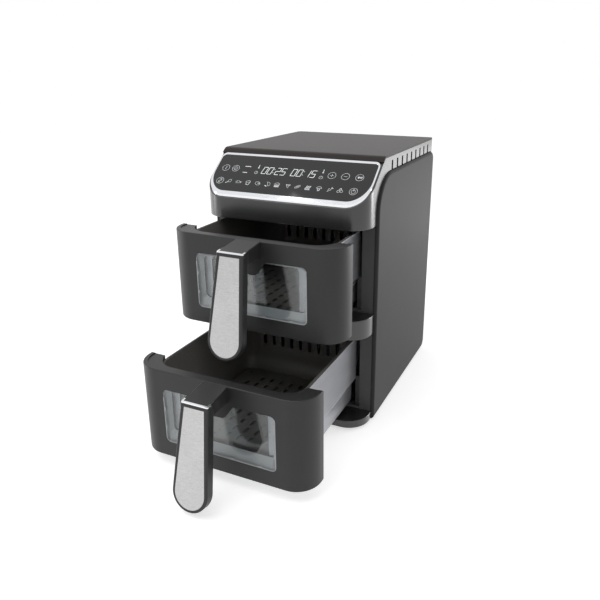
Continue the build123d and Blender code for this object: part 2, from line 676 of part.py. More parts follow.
def make_chamber(name, drawer_z):
    """Liner, runners with end plates, heater, guard, fans and motor behind one drawer."""
    low = drawer_z + OPENING_MARGIN
    high = low + 2 * CHAMBER_HALF
    level = (low + high) / 2
    at_level = Pos(0, 0, level)
    sheet = LINER_SHEET
    side = OPENING_HALF + sheet
    liner = block(-side, side, FRAME_REAR, LINER_REAR, low - sheet, high + sheet)
    liner -= block(-OPENING_HALF, OPENING_HALF, 0, LINER_REAR - sheet, low, high)
    liner -= rod(SHAFT_R + SHAFT_HOLE, 0, level, FAN_PLANE, FAR)
    for x in (-LEG_X, LEG_X):
        liner -= rod(HEATER_TUBE / 2 + sheet / 2, x, level + LEG_Z, FAN_PLANE, FAR)
    save(f"{name}_liner", liner)

    runner_top = drawer_z + BASKET_STEP - RUNNER_CLEAR
    rear = GUARD_FRONT - RUNNER_END
    ledge_in = NARROW_HALF + RUNNER_GAP
    wall_in = OPENING_HALF - RUNNER_SHEET
    runner = block(ledge_in, OPENING_HALF, RUNNER_FRONT, rear, runner_top - RUNNER_SHEET, runner_top)
    runner += block(wall_in, OPENING_HALF, RUNNER_FRONT, rear, runner_top - RUNNER_SIDE, runner_top)
    end_rear = RUNNER_FRONT + RUNNER_SHEET
    runner += block(ledge_in + BEAD_R, OPENING_HALF, RUNNER_FRONT, end_rear, low, runner_top)
    save(f"{name}_runners", both_sides(runner))

    guard = block(-OPENING_HALF, OPENING_HALF, GUARD_FRONT, GUARD_FRONT + GUARD_SHEET, low, high)
    open_r = HEATER_R + HEATER_TUBE / 2
    rows = int((open_r - GUARD_SLOT) / GUARD_PITCH)
    for row in range(-rows, rows + 1):
        reach = math.sqrt(open_r ** 2 - (row * GUARD_PITCH) ** 2)
        slot = Pos(0, level + row * GUARD_PITCH) * SlotOverall(2 * reach, GUARD_SLOT)
        guard -= upright(slot, 0, FAR)
    save(f"{name}_heater_guard", guard)
    save(f"{name}_heater", at_level * heater_tube())

    motor = rod(MOTOR_R, 0, 0, MOTOR_FRONT, MOTOR_REAR)
    motor = fillet(motor.edges().group_by(Axis.Y)[-1], MOTOR_EDGE_R)
    post_at = MOTOR_R + MOTOR_POST_R
    flange = post_at + MOTOR_POST_R + MOTOR_FLANGE
    motor += block(-flange, flange, MOTOR_FRONT, MOTOR_FRONT + MOTOR_FLANGE, -flange, flange)
    for x in (-post_at, post_at):
        for z in (-post_at, post_at):
            motor += rod(MOTOR_POST_R, x, z, LINER_REAR, MOTOR_FRONT)
    shaft_rear = MOTOR_REAR - SHELL_WALL
    motor -= rod(SHAFT_R + SHAFT_CLEAR, 0, 0, 0, shaft_rear)
    save(f"{name}_motor", at_level * motor)

    fan_front = FAN_PLANE - FAN_DEPTH / 2
    disc_front = fan_front + FAN_DEPTH - BLADE_SHEET
    fan = paddle_wheel(FAN_R, fan_front, FAN_DEPTH, FAN_BLADES, disc_front)
    cooler_front = LINER_REAR + COOLER_GAP
    cooler = paddle_wheel(MOTOR_R, cooler_front, COOLER_DEPTH, COOLER_BLADES, cooler_front)
    save(f"{name}_fan_shaft", at_level * rod(SHAFT_R, 0, 0, fan_front - 2, shaft_rear - 1))
    save(f"{name}_hot_fan", at_level * fan)
    save(f"{name}_cooling_fan", at_level * cooler)


def make_sensors():
    """Sealed switches behind the frame, one level with the magnet of each drawer."""
    rear = FRAME_REAR + SENSOR_DEPTH
    sensor = block(SENSOR_IN, SENSOR_OUT, FRAME_REAR, rear, SENSOR_LOW, SENSOR_HIGH)
    sensors = [Pos(0, 0, drawer_z) * sensor for drawer_z in (LOWER_Z, UPPER_Z)]
    save("drawer_sensors", Compound(sensors))


def window_outline(grow=0.0):
    """Window in a front panel seen from the front: a rounded rectangle with a tongue at the top."""
    outline = plate(WINDOW_HALF + grow, WINDOW_LOW - grow, WINDOW_HIGH + grow, WINDOW_R + grow)
    top = WINDOW_HIGH + abs(grow) + 1
    low = WINDOW_HIGH - TAB_DROP + grow
    corners = [(-TAB_TOP + grow, top), (-TAB_LOW + grow, low), (TAB_LOW - grow, low), (TAB_TOP - grow, top)]
    tongue = make_face(Polyline(*corners, close=True))
    tongue = fillet(tongue.vertices().group_by(Axis.Y)[0], TAB_R - grow)
    return outline - tongue


# Grip: its own leaning plane through the top front edge of the handle
LEAN_LENGTH = math.hypot(1, HANDLE_LEAN)
GRIP_LENGTH = HANDLE_DROP * LEAN_LENGTH
grip_plane = Plane(
    origin=(0, -HANDLE_OUT, DRAWER_HEIGHT),
    x_dir=(1, 0, 0),
    z_dir=(0, -1 / LEAN_LENGTH, HANDLE_LEAN / LEAN_LENGTH),
)


def grip_outline(margin, top):
    """Outline of the grip on its leaning plane: two straight sides that run into a round end."""
    end_r = HANDLE_HALF_LOW - margin
    end_y = -GRIP_LENGTH + HANDLE_HALF_LOW
    top_x = HANDLE_HALF_TOP - margin
    rise = top - end_y
    touch = math.atan2(rise, top_x) - math.acos(end_r / math.hypot(rise, top_x))
    touch_x = end_r * math.cos(touch)
    touch_y = end_y + end_r * math.sin(touch)
    left = Line((-top_x, top), (-touch_x, touch_y))
    end = ThreePointArc((-touch_x, touch_y), (0, end_y - end_r), (touch_x, touch_y))
    right = Line((touch_x, touch_y), (top_x, top))
    across = Line((top_x, top), (-top_x, top))
    return make_face(left + end + right + across)


def front_panel_pieces():
    """Front panel with its window, the back that closes it, the lens and the window frame."""
    outside = plan(HEAD_HALF, 0, PANEL_DEPTH, CORNER_R)
    core = plan(HEAD_HALF - SHELL_WALL, SHELL_WALL, 2 * PANEL_DEPTH, CORNER_R - SHELL_WALL)
    recess_r = BASKET_R + BASKET_RIM + WING_GAP
    recess = plan(RECESS_HALF, PANEL_MIDDLE, 3 * PANEL_DEPTH, recess_r)
    step = plan(HEAD_HALF - STEP_MARGIN, STEP_MARGIN, 3 * PANEL_DEPTH, CORNER_R - STEP_MARGIN)
    low = SHELL_WALL
    high = DRAWER_HEIGHT - SHELL_WALL
    panel = soften(prism(outside, 0, DRAWER_HEIGHT), EDGE_R)
    panel -= prism(recess, -1, DRAWER_HEIGHT + 1)
    panel -= prism(step, DRAWER_HEIGHT - STEP_DEPTH, DRAWER_HEIGHT + 1)
    panel -= prism(core, low, high)
    panel -= upright(window_outline(), -1, SHELL_WALL + 1)

    sheet = PANEL_BACK_SHEET
    back_front = PANEL_MIDDLE - sheet
    back_outline = plan(RECESS_HALF + sheet, back_front, 3 * PANEL_DEPTH, recess_r + sheet)
    back = prism(back_outline, low, high) - prism(recess, 0, DRAWER_HEIGHT)
    back &= block(-FAR, FAR, 0, PANEL_DEPTH, 0, DRAWER_HEIGHT)
    wing = block(RECESS_HALF, HEAD_HALF - SHELL_WALL, PANEL_DEPTH - sheet, PANEL_DEPTH, low, high)
    back += wing
    back += mirror(wing, Plane.YZ)
    view_half = WINDOW_HALF - TUNNEL_INSET
    view_low = WINDOW_LOW + TUNNEL_SILL
    view_high = WINDOW_HIGH - TUNNEL_INSET
    back -= upright(plate(view_half, view_low, view_high, WINDOW_R), 0, PANEL_MIDDLE)

    flange_rear = SHELL_WALL + LENS_FLANGE_SHEET
    lens = upright(window_outline(-GLASS_GAP), LENS_SET_BACK, SHELL_WALL)
    lens += upright(window_outline(LENS_FLANGE), SHELL_WALL, flange_rear)
    tunnel = plate(
        WINDOW_HALF + TUNNEL_WALL, WINDOW_LOW - TUNNEL_WALL, WINDOW_HIGH + TUNNEL_WALL, WINDOW_R + TUNNEL_WALL
    )
    wide_end = upright_plane(flange_rear) * plate(WINDOW_HALF, WINDOW_LOW, WINDOW_HIGH, WINDOW_R)
    narrow_end = upright_plane(back_front) * plate(view_half, view_low, view_high, WINDOW_R)
    return {
        "front_panel": panel,
        "panel_back": back,
        "window_lens": lens,
        "window_frame": upright(tunnel, flange_rear, back_front) - loft([wide_end, narrow_end]),
        "magnet": magnet_block(),
    }


def magnet_block():
    """The magnet inside the right-hand wing, in front of its sensor."""
    rear = PANEL_DEPTH - PANEL_BACK_SHEET
    return block(SENSOR_IN, SENSOR_OUT, rear - MAGNET_DEPTH, rear, SENSOR_LOW, SENSOR_HIGH)


def basket_pieces():
    """Basket with its step and rim, and the glass in its front wall with the ring that holds it."""
    wall = BASKET_WALL
    narrow_r = BASKET_R - STEP_WIDTH
    rim_r = BASKET_R + BASKET_RIM
    wide = plan(BASKET_HALF, PANEL_MIDDLE, BASKET_REAR, BASKET_R, BASKET_R)
    narrow = plan(NARROW_HALF, PANEL_MIDDLE, BASKET_REAR - STEP_WIDTH, narrow_r, narrow_r)
    rim = plan(BASKET_HALF + BASKET_RIM, PANEL_MIDDLE, BASKET_REAR + BASKET_RIM, rim_r, rim_r)
    lower = prism(narrow, BASKET_LOW, BASKET_STEP + wall)
    lower = fillet(lower.edges().group_by(Axis.Z)[0], BASKET_BOTTOM_R)
    for x in (-NARROW_HALF, NARROW_HALF):
        lower += rod(BEAD_R, x, BASKET_STEP - BEAD_DROP, PANEL_MIDDLE + BASKET_R, BASKET_REAR - BASKET_R)
    hollow = prism(offset(narrow, -wall), BASKET_LOW + wall, BASKET_STEP + 2 * wall)
    hollow = fillet(hollow.edges().group_by(Axis.Z)[0], BASKET_BOTTOM_R - wall)
    basket = prism(wide, BASKET_STEP, BASKET_TOP) + lower + prism(rim, BASKET_TOP - wall, BASKET_TOP)
    basket -= prism(offset(wide, -wall), BASKET_STEP + wall, BASKET_TOP + 1)
    basket -= hollow
    seat = PANEL_MIDDLE + wall
    hole = plate(PANE_HALF - PANE_LAP, PANE_LOW + PANE_LAP, PANE_HIGH - PANE_LAP, PANE_R)
    basket -= upright(hole, PANEL_MIDDLE - 1, seat + 1)
    slot_low = BASKET_STEP + AIR_SLOT_MARGIN
    slot_high = BASKET_TOP - AIR_SLOT_MARGIN
    columns = int((BASKET_HALF - BASKET_R) / AIR_SLOT_PITCH)
    for column in range(-columns, columns + 1):
        place = Pos(column * AIR_SLOT_PITCH, (slot_low + slot_high) / 2)
        slot = place * SlotOverall(slot_high - slot_low, AIR_SLOT, rotation=90)
        basket -= upright(slot, BASKET_REAR - 2 * wall, BASKET_REAR + 1)

    gap = GLASS_GAP
    pane_rear = seat + PANE_SHEET
    pane = upright(plate(PANE_HALF - gap, PANE_LOW + gap, PANE_HIGH - gap, PANE_R), seat, pane_rear)
    retainer = upright(ring(PANE_HALF, PANE_LOW, PANE_HIGH, PANE_R, RETAINER_RIM), seat, pane_rear)
    lap = RETAINER_LAP
    lip = ring(PANE_HALF - lap, PANE_LOW + lap, PANE_HIGH - lap, PANE_R - lap, RETAINER_RIM + lap)
    retainer += upright(lip, pane_rear, pane_rear + RETAINER_SHEET)
    return {"basket": basket, "basket_pane": pane, "pane_retainer": retainer}


def tray_pieces():
    """Slotted crisper tray and the silicone bumpers that it stands on."""
    half = NARROW_HALF - BASKET_WALL - TRAY_GAP
    front = PANEL_MIDDLE + TRAY_FRONT
    rear = BASKET_REAR - STEP_WIDTH - BASKET_WALL - TRAY_GAP
    middle = (front + rear) / 2
    top = TRAY_Z + TRAY_SHEET
    corner = BASKET_R - STEP_WIDTH - BASKET_WALL - TRAY_GAP
    tray = prism(plan(half, front, rear, corner, corner), TRAY_Z, top)
    columns = int((half - TRAY_MARGIN) / TRAY_PITCH_X)
    rows = int(((rear - front) / 2 - TRAY_MARGIN) / TRAY_PITCH_Y)
    slots = Sketch() + [
        Pos(column * TRAY_PITCH_X, middle + row * TRAY_PITCH_Y)
        * SlotOverall(TRAY_SLOT, TRAY_SLOT_WIDTH, rotation=90)
        for column in range(-columns, columns + 1)
        for row in range(-rows, rows + 1)
        if abs(column) < columns or abs(row) < rows
    ]
    tray -= prism(slots, TRAY_Z - 1, top + 1)
    bumpers = []
    for x in (-half + TRAY_MARGIN, half - TRAY_MARGIN):
        for y in (front + TRAY_MARGIN, rear - TRAY_MARGIN):
            tray -= post(BUMPER_PIN_R, x, y, TRAY_Z - 1, top + 1)
            bumper = post(BUMPER_R, x, y, BASKET_LOW + BASKET_WALL, TRAY_Z)
            bumpers.append(bumper + post(BUMPER_PIN_R, x, y, TRAY_Z, top))
    return {"crisper_tray": tray, "tray_bumpers": Compound(bumpers)}


def handle_pieces():
    """Handle: a bridge from the front panel and a leaning grip, with its inlay and chrome trim."""
    grip = extrude(grip_outline(0, HANDLE_THICK), -HANDLE_THICK)
    grip = fillet(grip.faces().sort_by(Axis.Z)[-1].edges(), GRIP_FRONT_R)
    grip = fillet(grip.faces().sort_by(Axis.Z)[0].edges(), GRIP_BACK_R)
    far_top = (-FAR, DRAWER_HEIGHT - HANDLE_DIP * FAR / HANDLE_OUT)
    under_top = profile([(0, DRAWER_HEIGHT), far_top, (-FAR, -FAR), (0, -FAR)], FAR)
    grip = (grip_plane * grip) & under_top
    bridge_low = DRAWER_HEIGHT - BRIDGE_HEIGHT
    bridge_front = -HANDLE_OUT + BRIDGE_LAP
    bridge = block(-HANDLE_HALF_TOP, HANDLE_HALF_TOP, bridge_front, 0, bridge_low, DRAWER_HEIGHT) & under_top
    lengthwise = bridge.edges().filter_by(lambda edge: abs(edge.tangent_at(0.5).Y) > 0.9)
    bridge = fillet(lengthwise, BRIDGE_EDGE_R)
    inlay_top = -(HANDLE_DIP + INLAY_TOP) * LEAN_LENGTH
    inlay = grip_plane * extrude(grip_outline(INLAY_MARGIN, inlay_top), -INLAY_SHEET)
    trim_low = DRAWER_HEIGHT - HANDLE_DIP - TRIM_BAND
    trim = block(-FAR, FAR, -FAR, -HANDLE_OUT + TRIM_BAND, trim_low, DRAWER_HEIGHT)
    side_trim = HANDLE_HALF_TOP - TRIM_SIDE
    side = block(side_trim, FAR, -FAR, -HANDLE_OUT + TRIM_RETURN, trim_low, DRAWER_HEIGHT)
    trim += side
    trim += mirror(side, Plane.YZ)
    trim &= grip
    return {"handle": grip + bridge - inlay - trim, "handle_inlay": inlay, "handle_trim": trim}


def drawer_pieces():
    """All pieces of one drawer, closed, with the bottom of its front panel at Z = 0."""
    pieces = {**front_panel_pieces(), **basket_pieces(), **tray_pieces(), **handle_pieces()}
    screws = []
    bridge_z = DRAWER_HEIGHT - BRIDGE_HEIGHT / 2
    for x in (-HANDLE_HALF_TOP / 2, HANDLE_HALF_TOP / 2):
        screws.append(screw(x, bridge_z, SHELL_WALL, -HANDLE_SCREW_LENGTH, HANDLE_SCREW_R))
        pieces["front_panel"] -= rod(HANDLE_SCREW_R + SCREW_HOLE, x, bridge_z, -1, SHELL_WALL + 1)
        pieces["handle"] -= rod(HANDLE_SCREW_R, x, bridge_z, -HANDLE_SCREW_LENGTH, 1)
    seat = PANEL_MIDDLE + BASKET_WALL
    tip = PANEL_MIDDLE - 2 * PANEL_BACK_SHEET
    low_screw = (BASKET_LOW + BASKET_BOTTOM_R + PANE_LOW - RETAINER_RIM) / 2
    high_screw = (PANE_HIGH + RETAINER_RIM + BASKET_TOP - BASKET_WALL) / 2
    for x in (-SCREW_X, SCREW_X):
        for z in (low_screw, high_screw):
            hole = rod(SCREW_R + SCREW_HOLE, x, z, tip, seat + 1)
            pieces["basket"] -= hole
            pieces["panel_back"] -= hole
            screws.append(screw(x, z, seat, tip, SCREW_R))
    pieces["screws"] = Compound(screws)
    return pieces


make_base()
make_sides()
make_head()
make_top()
make_front()
make_rear()
make_power_board()
make_sensors()
make_chamber("lower", LOWER_Z)
make_chamber("upper", UPPER_Z)
drawer = drawer_pieces()
for name, drawer_z, out in (("upper", UPPER_Z, UPPER_OUT), ("lower", LOWER_Z, LOWER_OUT)):
    for piece, shape in drawer.items():
        save(f"{name}_{piece}", Pos(0, -out, drawer_z) * shape)
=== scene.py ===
# %% [markdown]
# # Dressing a two-drawer air fryer
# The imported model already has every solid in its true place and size, in metres. This lesson gives
# each solid the finish of its real material, adds the printed marks, the window edges and the
# two-tone baskets, and sets up a plain studio. It runs from top to bottom, one short step at a time.

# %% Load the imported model
import json
import math

import bpy
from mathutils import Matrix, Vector

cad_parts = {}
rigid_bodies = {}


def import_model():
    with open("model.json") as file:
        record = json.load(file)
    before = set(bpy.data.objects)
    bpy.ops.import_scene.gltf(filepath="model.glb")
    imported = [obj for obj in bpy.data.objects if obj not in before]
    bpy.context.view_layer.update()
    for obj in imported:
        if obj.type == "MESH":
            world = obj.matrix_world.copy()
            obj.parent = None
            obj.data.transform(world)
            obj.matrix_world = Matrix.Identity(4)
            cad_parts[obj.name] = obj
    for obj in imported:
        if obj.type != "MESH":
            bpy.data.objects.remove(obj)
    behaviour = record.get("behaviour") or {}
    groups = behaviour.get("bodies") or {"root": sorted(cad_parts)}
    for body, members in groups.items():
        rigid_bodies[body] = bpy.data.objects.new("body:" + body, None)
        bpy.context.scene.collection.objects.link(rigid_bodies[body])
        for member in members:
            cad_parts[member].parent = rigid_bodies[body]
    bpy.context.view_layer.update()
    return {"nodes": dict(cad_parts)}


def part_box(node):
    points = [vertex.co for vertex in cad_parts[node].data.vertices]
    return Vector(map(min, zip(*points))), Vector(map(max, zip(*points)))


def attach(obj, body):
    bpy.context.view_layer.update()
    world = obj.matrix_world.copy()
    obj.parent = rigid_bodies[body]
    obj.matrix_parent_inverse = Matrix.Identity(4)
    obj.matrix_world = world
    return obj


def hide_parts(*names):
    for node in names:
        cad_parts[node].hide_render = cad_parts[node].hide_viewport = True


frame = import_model()
nodes = frame["nodes"]

# %% [markdown]
# ## Camera
# The photograph looks down on the right front corner from about a metre away. The viewing angle and
# the focal length come from its edges. The object stands a little to one side in the picture, so
# the lens is shifted and the camera is not turned, which keeps upright edges as they are.

# %% Place the camera
PHOTO = 600                                   # the picture is square
FOCAL_PIXELS = 606.2
VIEW_AZIMUTH = math.radians(24.1)
VIEW_ELEVATION = math.radians(18.3)
VIEW_DISTANCE = 1.013
CASE_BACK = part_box("side_panel_right")[1].y
CENTRE_AHEAD = 0.18                           # from the back of the case
CENTRE_HEIGHT = 0.2                           # half of the object's height
VIEW_CENTRE = Vector((0, CASE_BACK - CENTRE_AHEAD, CENTRE_HEIGHT))
SENSOR_WIDTH = 36                             # mm
SHIFT_ACROSS, SHIFT_UP = -0.0381, -0.056

toward_camera = Vector((
    math.sin(VIEW_AZIMUTH) * math.cos(VIEW_ELEVATION),
    -math.cos(VIEW_AZIMUTH) * math.cos(VIEW_ELEVATION),
    math.sin(VIEW_ELEVATION),
))
bpy.ops.object.select_all(action="DESELECT")
bpy.ops.object.camera_add(location=VIEW_CENTRE + VIEW_DISTANCE * toward_camera)
camera = bpy.context.object
camera.name = "photo_camera"
camera.rotation_euler = (-toward_camera).to_track_quat("-Z", "Y").to_euler()
camera.data.sensor_width = SENSOR_WIDTH
camera.data.lens = FOCAL_PIXELS / PHOTO * SENSOR_WIDTH
camera.data.shift_x = SHIFT_ACROSS
camera.data.shift_y = SHIFT_UP
bpy.context.scene.camera = camera
print("camera at", [round(c, 3) for c in camera.location], "lens", round(camera.data.lens, 2))

# %% [markdown]
# ## Colour and node helpers
# Colours are written as sRGB hex values, as in any paint program, and one function makes them
# linear. A second function adds one node with its settings and links. A third turns the real size
# of a grain in millimetres into a texture scale, because Object coordinates are in metres.

# %% Helpers for materials
def srgb(code):
    """Linear RGBA of an sRGB hex colour."""
    parts = [int(code[place:place + 2], 16) / 255 for place in (1, 3, 5)]
    return (*[c / 12.92 if c <= 0.04045 else ((c + 0.055) / 1.055) ** 2.4 for c in parts], 1.0)


def add(tree, kind, settings=None, links=None):
    """Add a node, set its properties and sockets, and link other nodes' outputs into it."""
    node = tree.nodes.new(kind)
    for key, value in (settings or {}).items():
        if isinstance(key, str) and hasattr(node, key):
            setattr(node, key, value)
        else:
            node.inputs[key].default_value = value
    for key, output in (links or {}).items():
        tree.links.new(output, node.inputs[key])
    return node


def grain(millimetres):
    """Texture scale for a grain of this real size."""
    return 1000 / millimetres


def start_finish(name, values):
    """A new material with its shader values set, and the Object coordinates it reads."""
    material = bpy.data.materials.new(name)
    material.use_nodes = True
    tree = material.node_tree
    shader = tree.nodes["Principled BSDF"]
    for socket, value in values.items():
        shader.inputs[socket].default_value = value
    where = add(tree, "ShaderNodeTexCoord").outputs["Object"]
    return material, tree, shader, where


print("grey 128 in linear light", round(srgb("#808080")[0], 3))

# %% [markdown]
# ## Studio
# The object is shown on white. The floor is pale paper, and the world gives even light. Rays that go
# straight to the background, or reach it in a reflection or through a window, see plain white.
# The lamps are large and soft: one over the front, and one low on each side that draws the upright
# highlights on the rounded corners. The right one stands behind the object, because the camera sees
# the right corners so flatly that they mirror what is behind them. A small low lamp farther back is
# there only to be mirrored in the vented band under the top cover.

# %% Floor
FLOOR_SIZE = 8
FLOOR_LIFT = 0.58                              # brings the lit paper up to white


def seen_directly(tree):
    """1 for rays from the camera, from a mirror image or through a window, and 0 for all others."""
    rays = add(tree, "ShaderNodeLightPath")
    seen = add(tree, "ShaderNodeMath", {"operation": "MAXIMUM"},
               {0: rays.outputs["Is Camera Ray"], 1: rays.outputs["Is Glossy Ray"]})
    seen = add(tree, "ShaderNodeMath", {"operation": "MAXIMUM"},
               {0: seen.outputs[0], 1: rays.outputs["Is Transmission Ray"]})
    return seen.outputs[0]


bpy.ops.object.select_all(action="DESELECT")
bpy.ops.mesh.primitive_plane_add(size=FLOOR_SIZE)
floor = bpy.context.object
floor.name = "paper_floor"
paper, tree, shader, where = start_finish(
    "paper_white_matt", {"Base Color": srgb("#e6e6e6"), "Roughness": 0.9, "Specular IOR Level": 0.0})
lift = add(tree, "ShaderNodeMath", {"operation": "MULTIPLY", 1: FLOOR_LIFT}, {0: seen_directly(tree)})
tree.links.new(lift.outputs[0], shader.inputs["Emission Strength"])
shader.inputs["Emission Color"].default_value = srgb("#ffffff")
floor.data.materials.append(paper)
print("floor", floor.dimensions[:2])

# %% World
world = bpy.data.worlds.new("white_studio")
world.use_nodes = True
bpy.context.scene.world = world
tree = world.node_tree
tree.nodes.clear()
seen = seen_directly(tree)
light = add(tree, "ShaderNodeBackground", {"Color": srgb("#ffffff"), "Strength": 0.55})
white = add(tree, "ShaderNodeBackground", {"Color": srgb("#ffffff"), "Strength": 1.0})
both = add(tree, "ShaderNodeMixShader", {},
           {0: seen, 1: light.outputs[0], 2: white.outputs[0]})
add(tree, "ShaderNodeOutputWorld", {}, {"Surface": both.outputs[0]})
bpy.context.scene.view_settings.view_transform = "Standard"
print("world nodes", len(tree.nodes))

# %% Lamps
def softbox(name, place, aim, width, height, watts):
    """A rectangular area lamp that faces a point."""
    bpy.ops.object.select_all(action="DESELECT")
    bpy.ops.object.light_add(type="AREA", location=place)
    lamp = bpy.context.object
    lamp.name = name
    lamp.rotation_euler = (Vector(aim) - Vector(place)).to_track_quat("-Z", "Y").to_euler()
    lamp.data.shape = "RECTANGLE"
    lamp.data.size = width
    lamp.data.size_y = height
    lamp.data.energy = watts
    lamp.visible_camera = False
    return lamp


softbox("overhead_softbox", (-0.5, -0.9, 2.0), (0, 0, 0.2), 1.6, 1.2, 14)
softbox("right_strip", (1.1, 0.95, 0.35), (0.1, -0.1, 0.2), 0.35, 0.7, 6)
softbox("left_strip", (-1.6, -0.5, 0.5), (0, 0, 0.2), 0.3, 1.2, 6)
softbox("low_reflector", (0.45, 0.9, 0.16), (0.13, 0.15, 0.385), 0.6, 0.26, 0.4)

# %% [markdown]
# ## Moulded plastics
# Drawer fronts and handles are ABS from a spark-eroded mould, which leaves a very fine satin grain
# that breaks up reflections. The real grain is about 0.2 mm and would not show at this distance, so
# it is drawn at 1.5 mm. A faint cloud in the tone keeps the large faces from looking like paint.

# %% Satin ABS of the drawers and handles
satin_abs, tree, shader, where = start_finish(
    "abs_satin_black", {"IOR": 1.53, "Specular IOR Level": 0.36})
cloud = add(tree, "ShaderNodeTexNoise", {"Scale": grain(70), "Detail": 2.0}, {"Vector": where})
tone = add(tree, "ShaderNodeMix", {"data_type": "RGBA", 6: srgb("#232324"), 7: srgb("#2a2a2b")},
           {0: cloud.outputs[0]})
tree.links.new(tone.outputs[2], shader.inputs["Base Color"])
spark = add(tree, "ShaderNodeTexNoise", {"Scale": grain(1.5), "Detail": 3.0}, {"Vector": where})
gloss = add(tree, "ShaderNodeMapRange", {"To Min": 0.34, "To Max": 0.46}, {"Value": spark.outputs[0]})
tree.links.new(gloss.outputs[0], shader.inputs["Roughness"])
relief = add(tree, "ShaderNodeBump", {"Strength": 0.12, "Distance": 0.0002}, {"Height": spark.outputs[0]})
tree.links.new(relief.outputs[0], shader.inputs["Normal"])
print(satin_abs.name, len(tree.nodes), "nodes")

# %% [markdown]
# The head, the rail and the base are the same plastic from a smoother mould, with a clear lacquer.
# They mirror the room softly and a little unevenly, because a large moulding shrinks as it cools.

# %% Gloss ABS of the case
gloss_abs, tree, shader, where = start_finish(
    "abs_gloss_black",
    {"Roughness": 0.3, "IOR": 1.53, "Specular IOR Level": 0.3,
     "Coat Weight": 1.0, "Coat Roughness": 0.22, "Coat IOR": 1.5})
wave = add(tree, "ShaderNodeTexNoise", {"Scale": grain(30), "Detail": 1.0}, {"Vector": where})
tone = add(tree, "ShaderNodeMix", {"data_type": "RGBA", 6: srgb("#1c1c1d"), 7: srgb("#232324")},
           {0: wave.outputs[0]})
tree.links.new(tone.outputs[2], shader.inputs["Base Color"])
sink = add(tree, "ShaderNodeBump", {"Strength": 0.05, "Distance": 0.001}, {"Height": wave.outputs[0]})
tree.links.new(sink.outputs[0], shader.inputs["Normal"])
print(gloss_abs.name, len(tree.nodes), "nodes")

# %% Matt polypropylene of the inner mouldings
# A soft, even dark grey that hardly mirrors anything, so recesses and the back look calm. The fine
# grain of its mould is drawn at 2 mm.
matt_pp, tree, shader, where = start_finish("polypropylene_matt_black", {"IOR": 1.49, "Roughness": 0.6})
cloud = add(tree, "ShaderNodeTexNoise", {"Scale": grain(25), "Detail": 3.0}, {"Vector": where})
tone = add(tree, "ShaderNodeMix", {"data_type": "RGBA", 6: srgb("#464646"), 7: srgb("#505050")},
           {0: cloud.outputs[0]})
tree.links.new(tone.outputs[2], shader.inputs["Base Color"])
spark = add(tree, "ShaderNodeTexNoise", {"Scale": grain(2), "Detail": 2.0}, {"Vector": where})
relief = add(tree, "ShaderNodeBump", {"Strength": 0.2, "Distance": 0.0002}, {"Height": spark.outputs[0]})
tree.links.new(relief.outputs[0], shader.inputs["Normal"])
print(matt_pp.name, len(tree.nodes), "nodes")

# %% [markdown]
# The side panels are a lighter black with a fine leathery grain, and the top cover is a brown black
# that looks silky, because it is seen at a low angle and mirrors the backdrop.

# %% Grained side panels
# The grain scatters light, so the large sides look soft and even. It is under a millimetre wide and
# is drawn at 1.8 mm.
side_grain, tree, shader, where = start_finish(
    "abs_grained_dark_grey", {"IOR": 1.53, "Roughness": 0.45, "Specular IOR Level": 0.09})
cells = add(tree, "ShaderNodeTexVoronoi", {"Scale": grain(1.8), "Randomness": 1.0}, {"Vector": where})
cloud = add(tree, "ShaderNodeTexNoise", {"Scale": grain(90), "Detail": 2.0}, {"Vector": where})
tone = add(tree, "ShaderNodeMix", {"data_type": "RGBA", 6: srgb("#2e2e2f"), 7: srgb("#363637")},
           {0: cloud.outputs[0]})
tree.links.new(tone.outputs[2], shader.inputs["Base Color"])
relief = add(tree, "ShaderNodeBump", {"Strength": 0.15, "Distance": 0.0002}, {"Height": cells.outputs[0]})
tree.links.new(relief.outputs[0], shader.inputs["Normal"])
print(side_grain.name, len(tree.nodes), "nodes")

# %% Silky top cover
# A low, wide sheen with a hint of brown, over the same drawn grain as on the drawers.
silky_top, tree, shader, where = start_finish(
    "abs_silky_brown_black", {"IOR": 1.5, "Specular IOR Level": 0.15})
cloud = add(tree, "ShaderNodeTexNoise", {"Scale": grain(80), "Detail": 2.0}, {"Vector": where})
tone = add(tree, "ShaderNodeMix", {"data_type": "RGBA", 6: srgb("#282322"), 7: srgb("#302b2a")},
           {0: cloud.outputs[0]})
tree.links.new(tone.outputs[2], shader.inputs["Base Color"])
spark = add(tree, "ShaderNodeTexNoise", {"Scale": grain(1.5), "Detail": 3.0}, {"Vector": where})
gloss = add(tree, "ShaderNodeMapRange", {"To Min": 0.36, "To Max": 0.46}, {"Value": spark.outputs[0]})
tree.links.new(gloss.outputs[0], shader.inputs["Roughness"])
relief = add(tree, "ShaderNodeBump", {"Strength": 0.06, "Distance": 0.0002}, {"Height": spark.outputs[0]})
tree.links.new(relief.outputs[0], shader.inputs["Normal"])
print(silky_top.name, len(tree.nodes), "nodes")

# %% [markdown]
# ## Bright metal
# The bezel and the handle trims are plastic plated with chrome, which is bluish white and almost a
# mirror. The handle inlay is thin stainless sheet, brushed across and then blasted lightly: short
# fine scratches and flecks. Brush marks are about 0.05 mm wide and are drawn at 0.8 mm here.

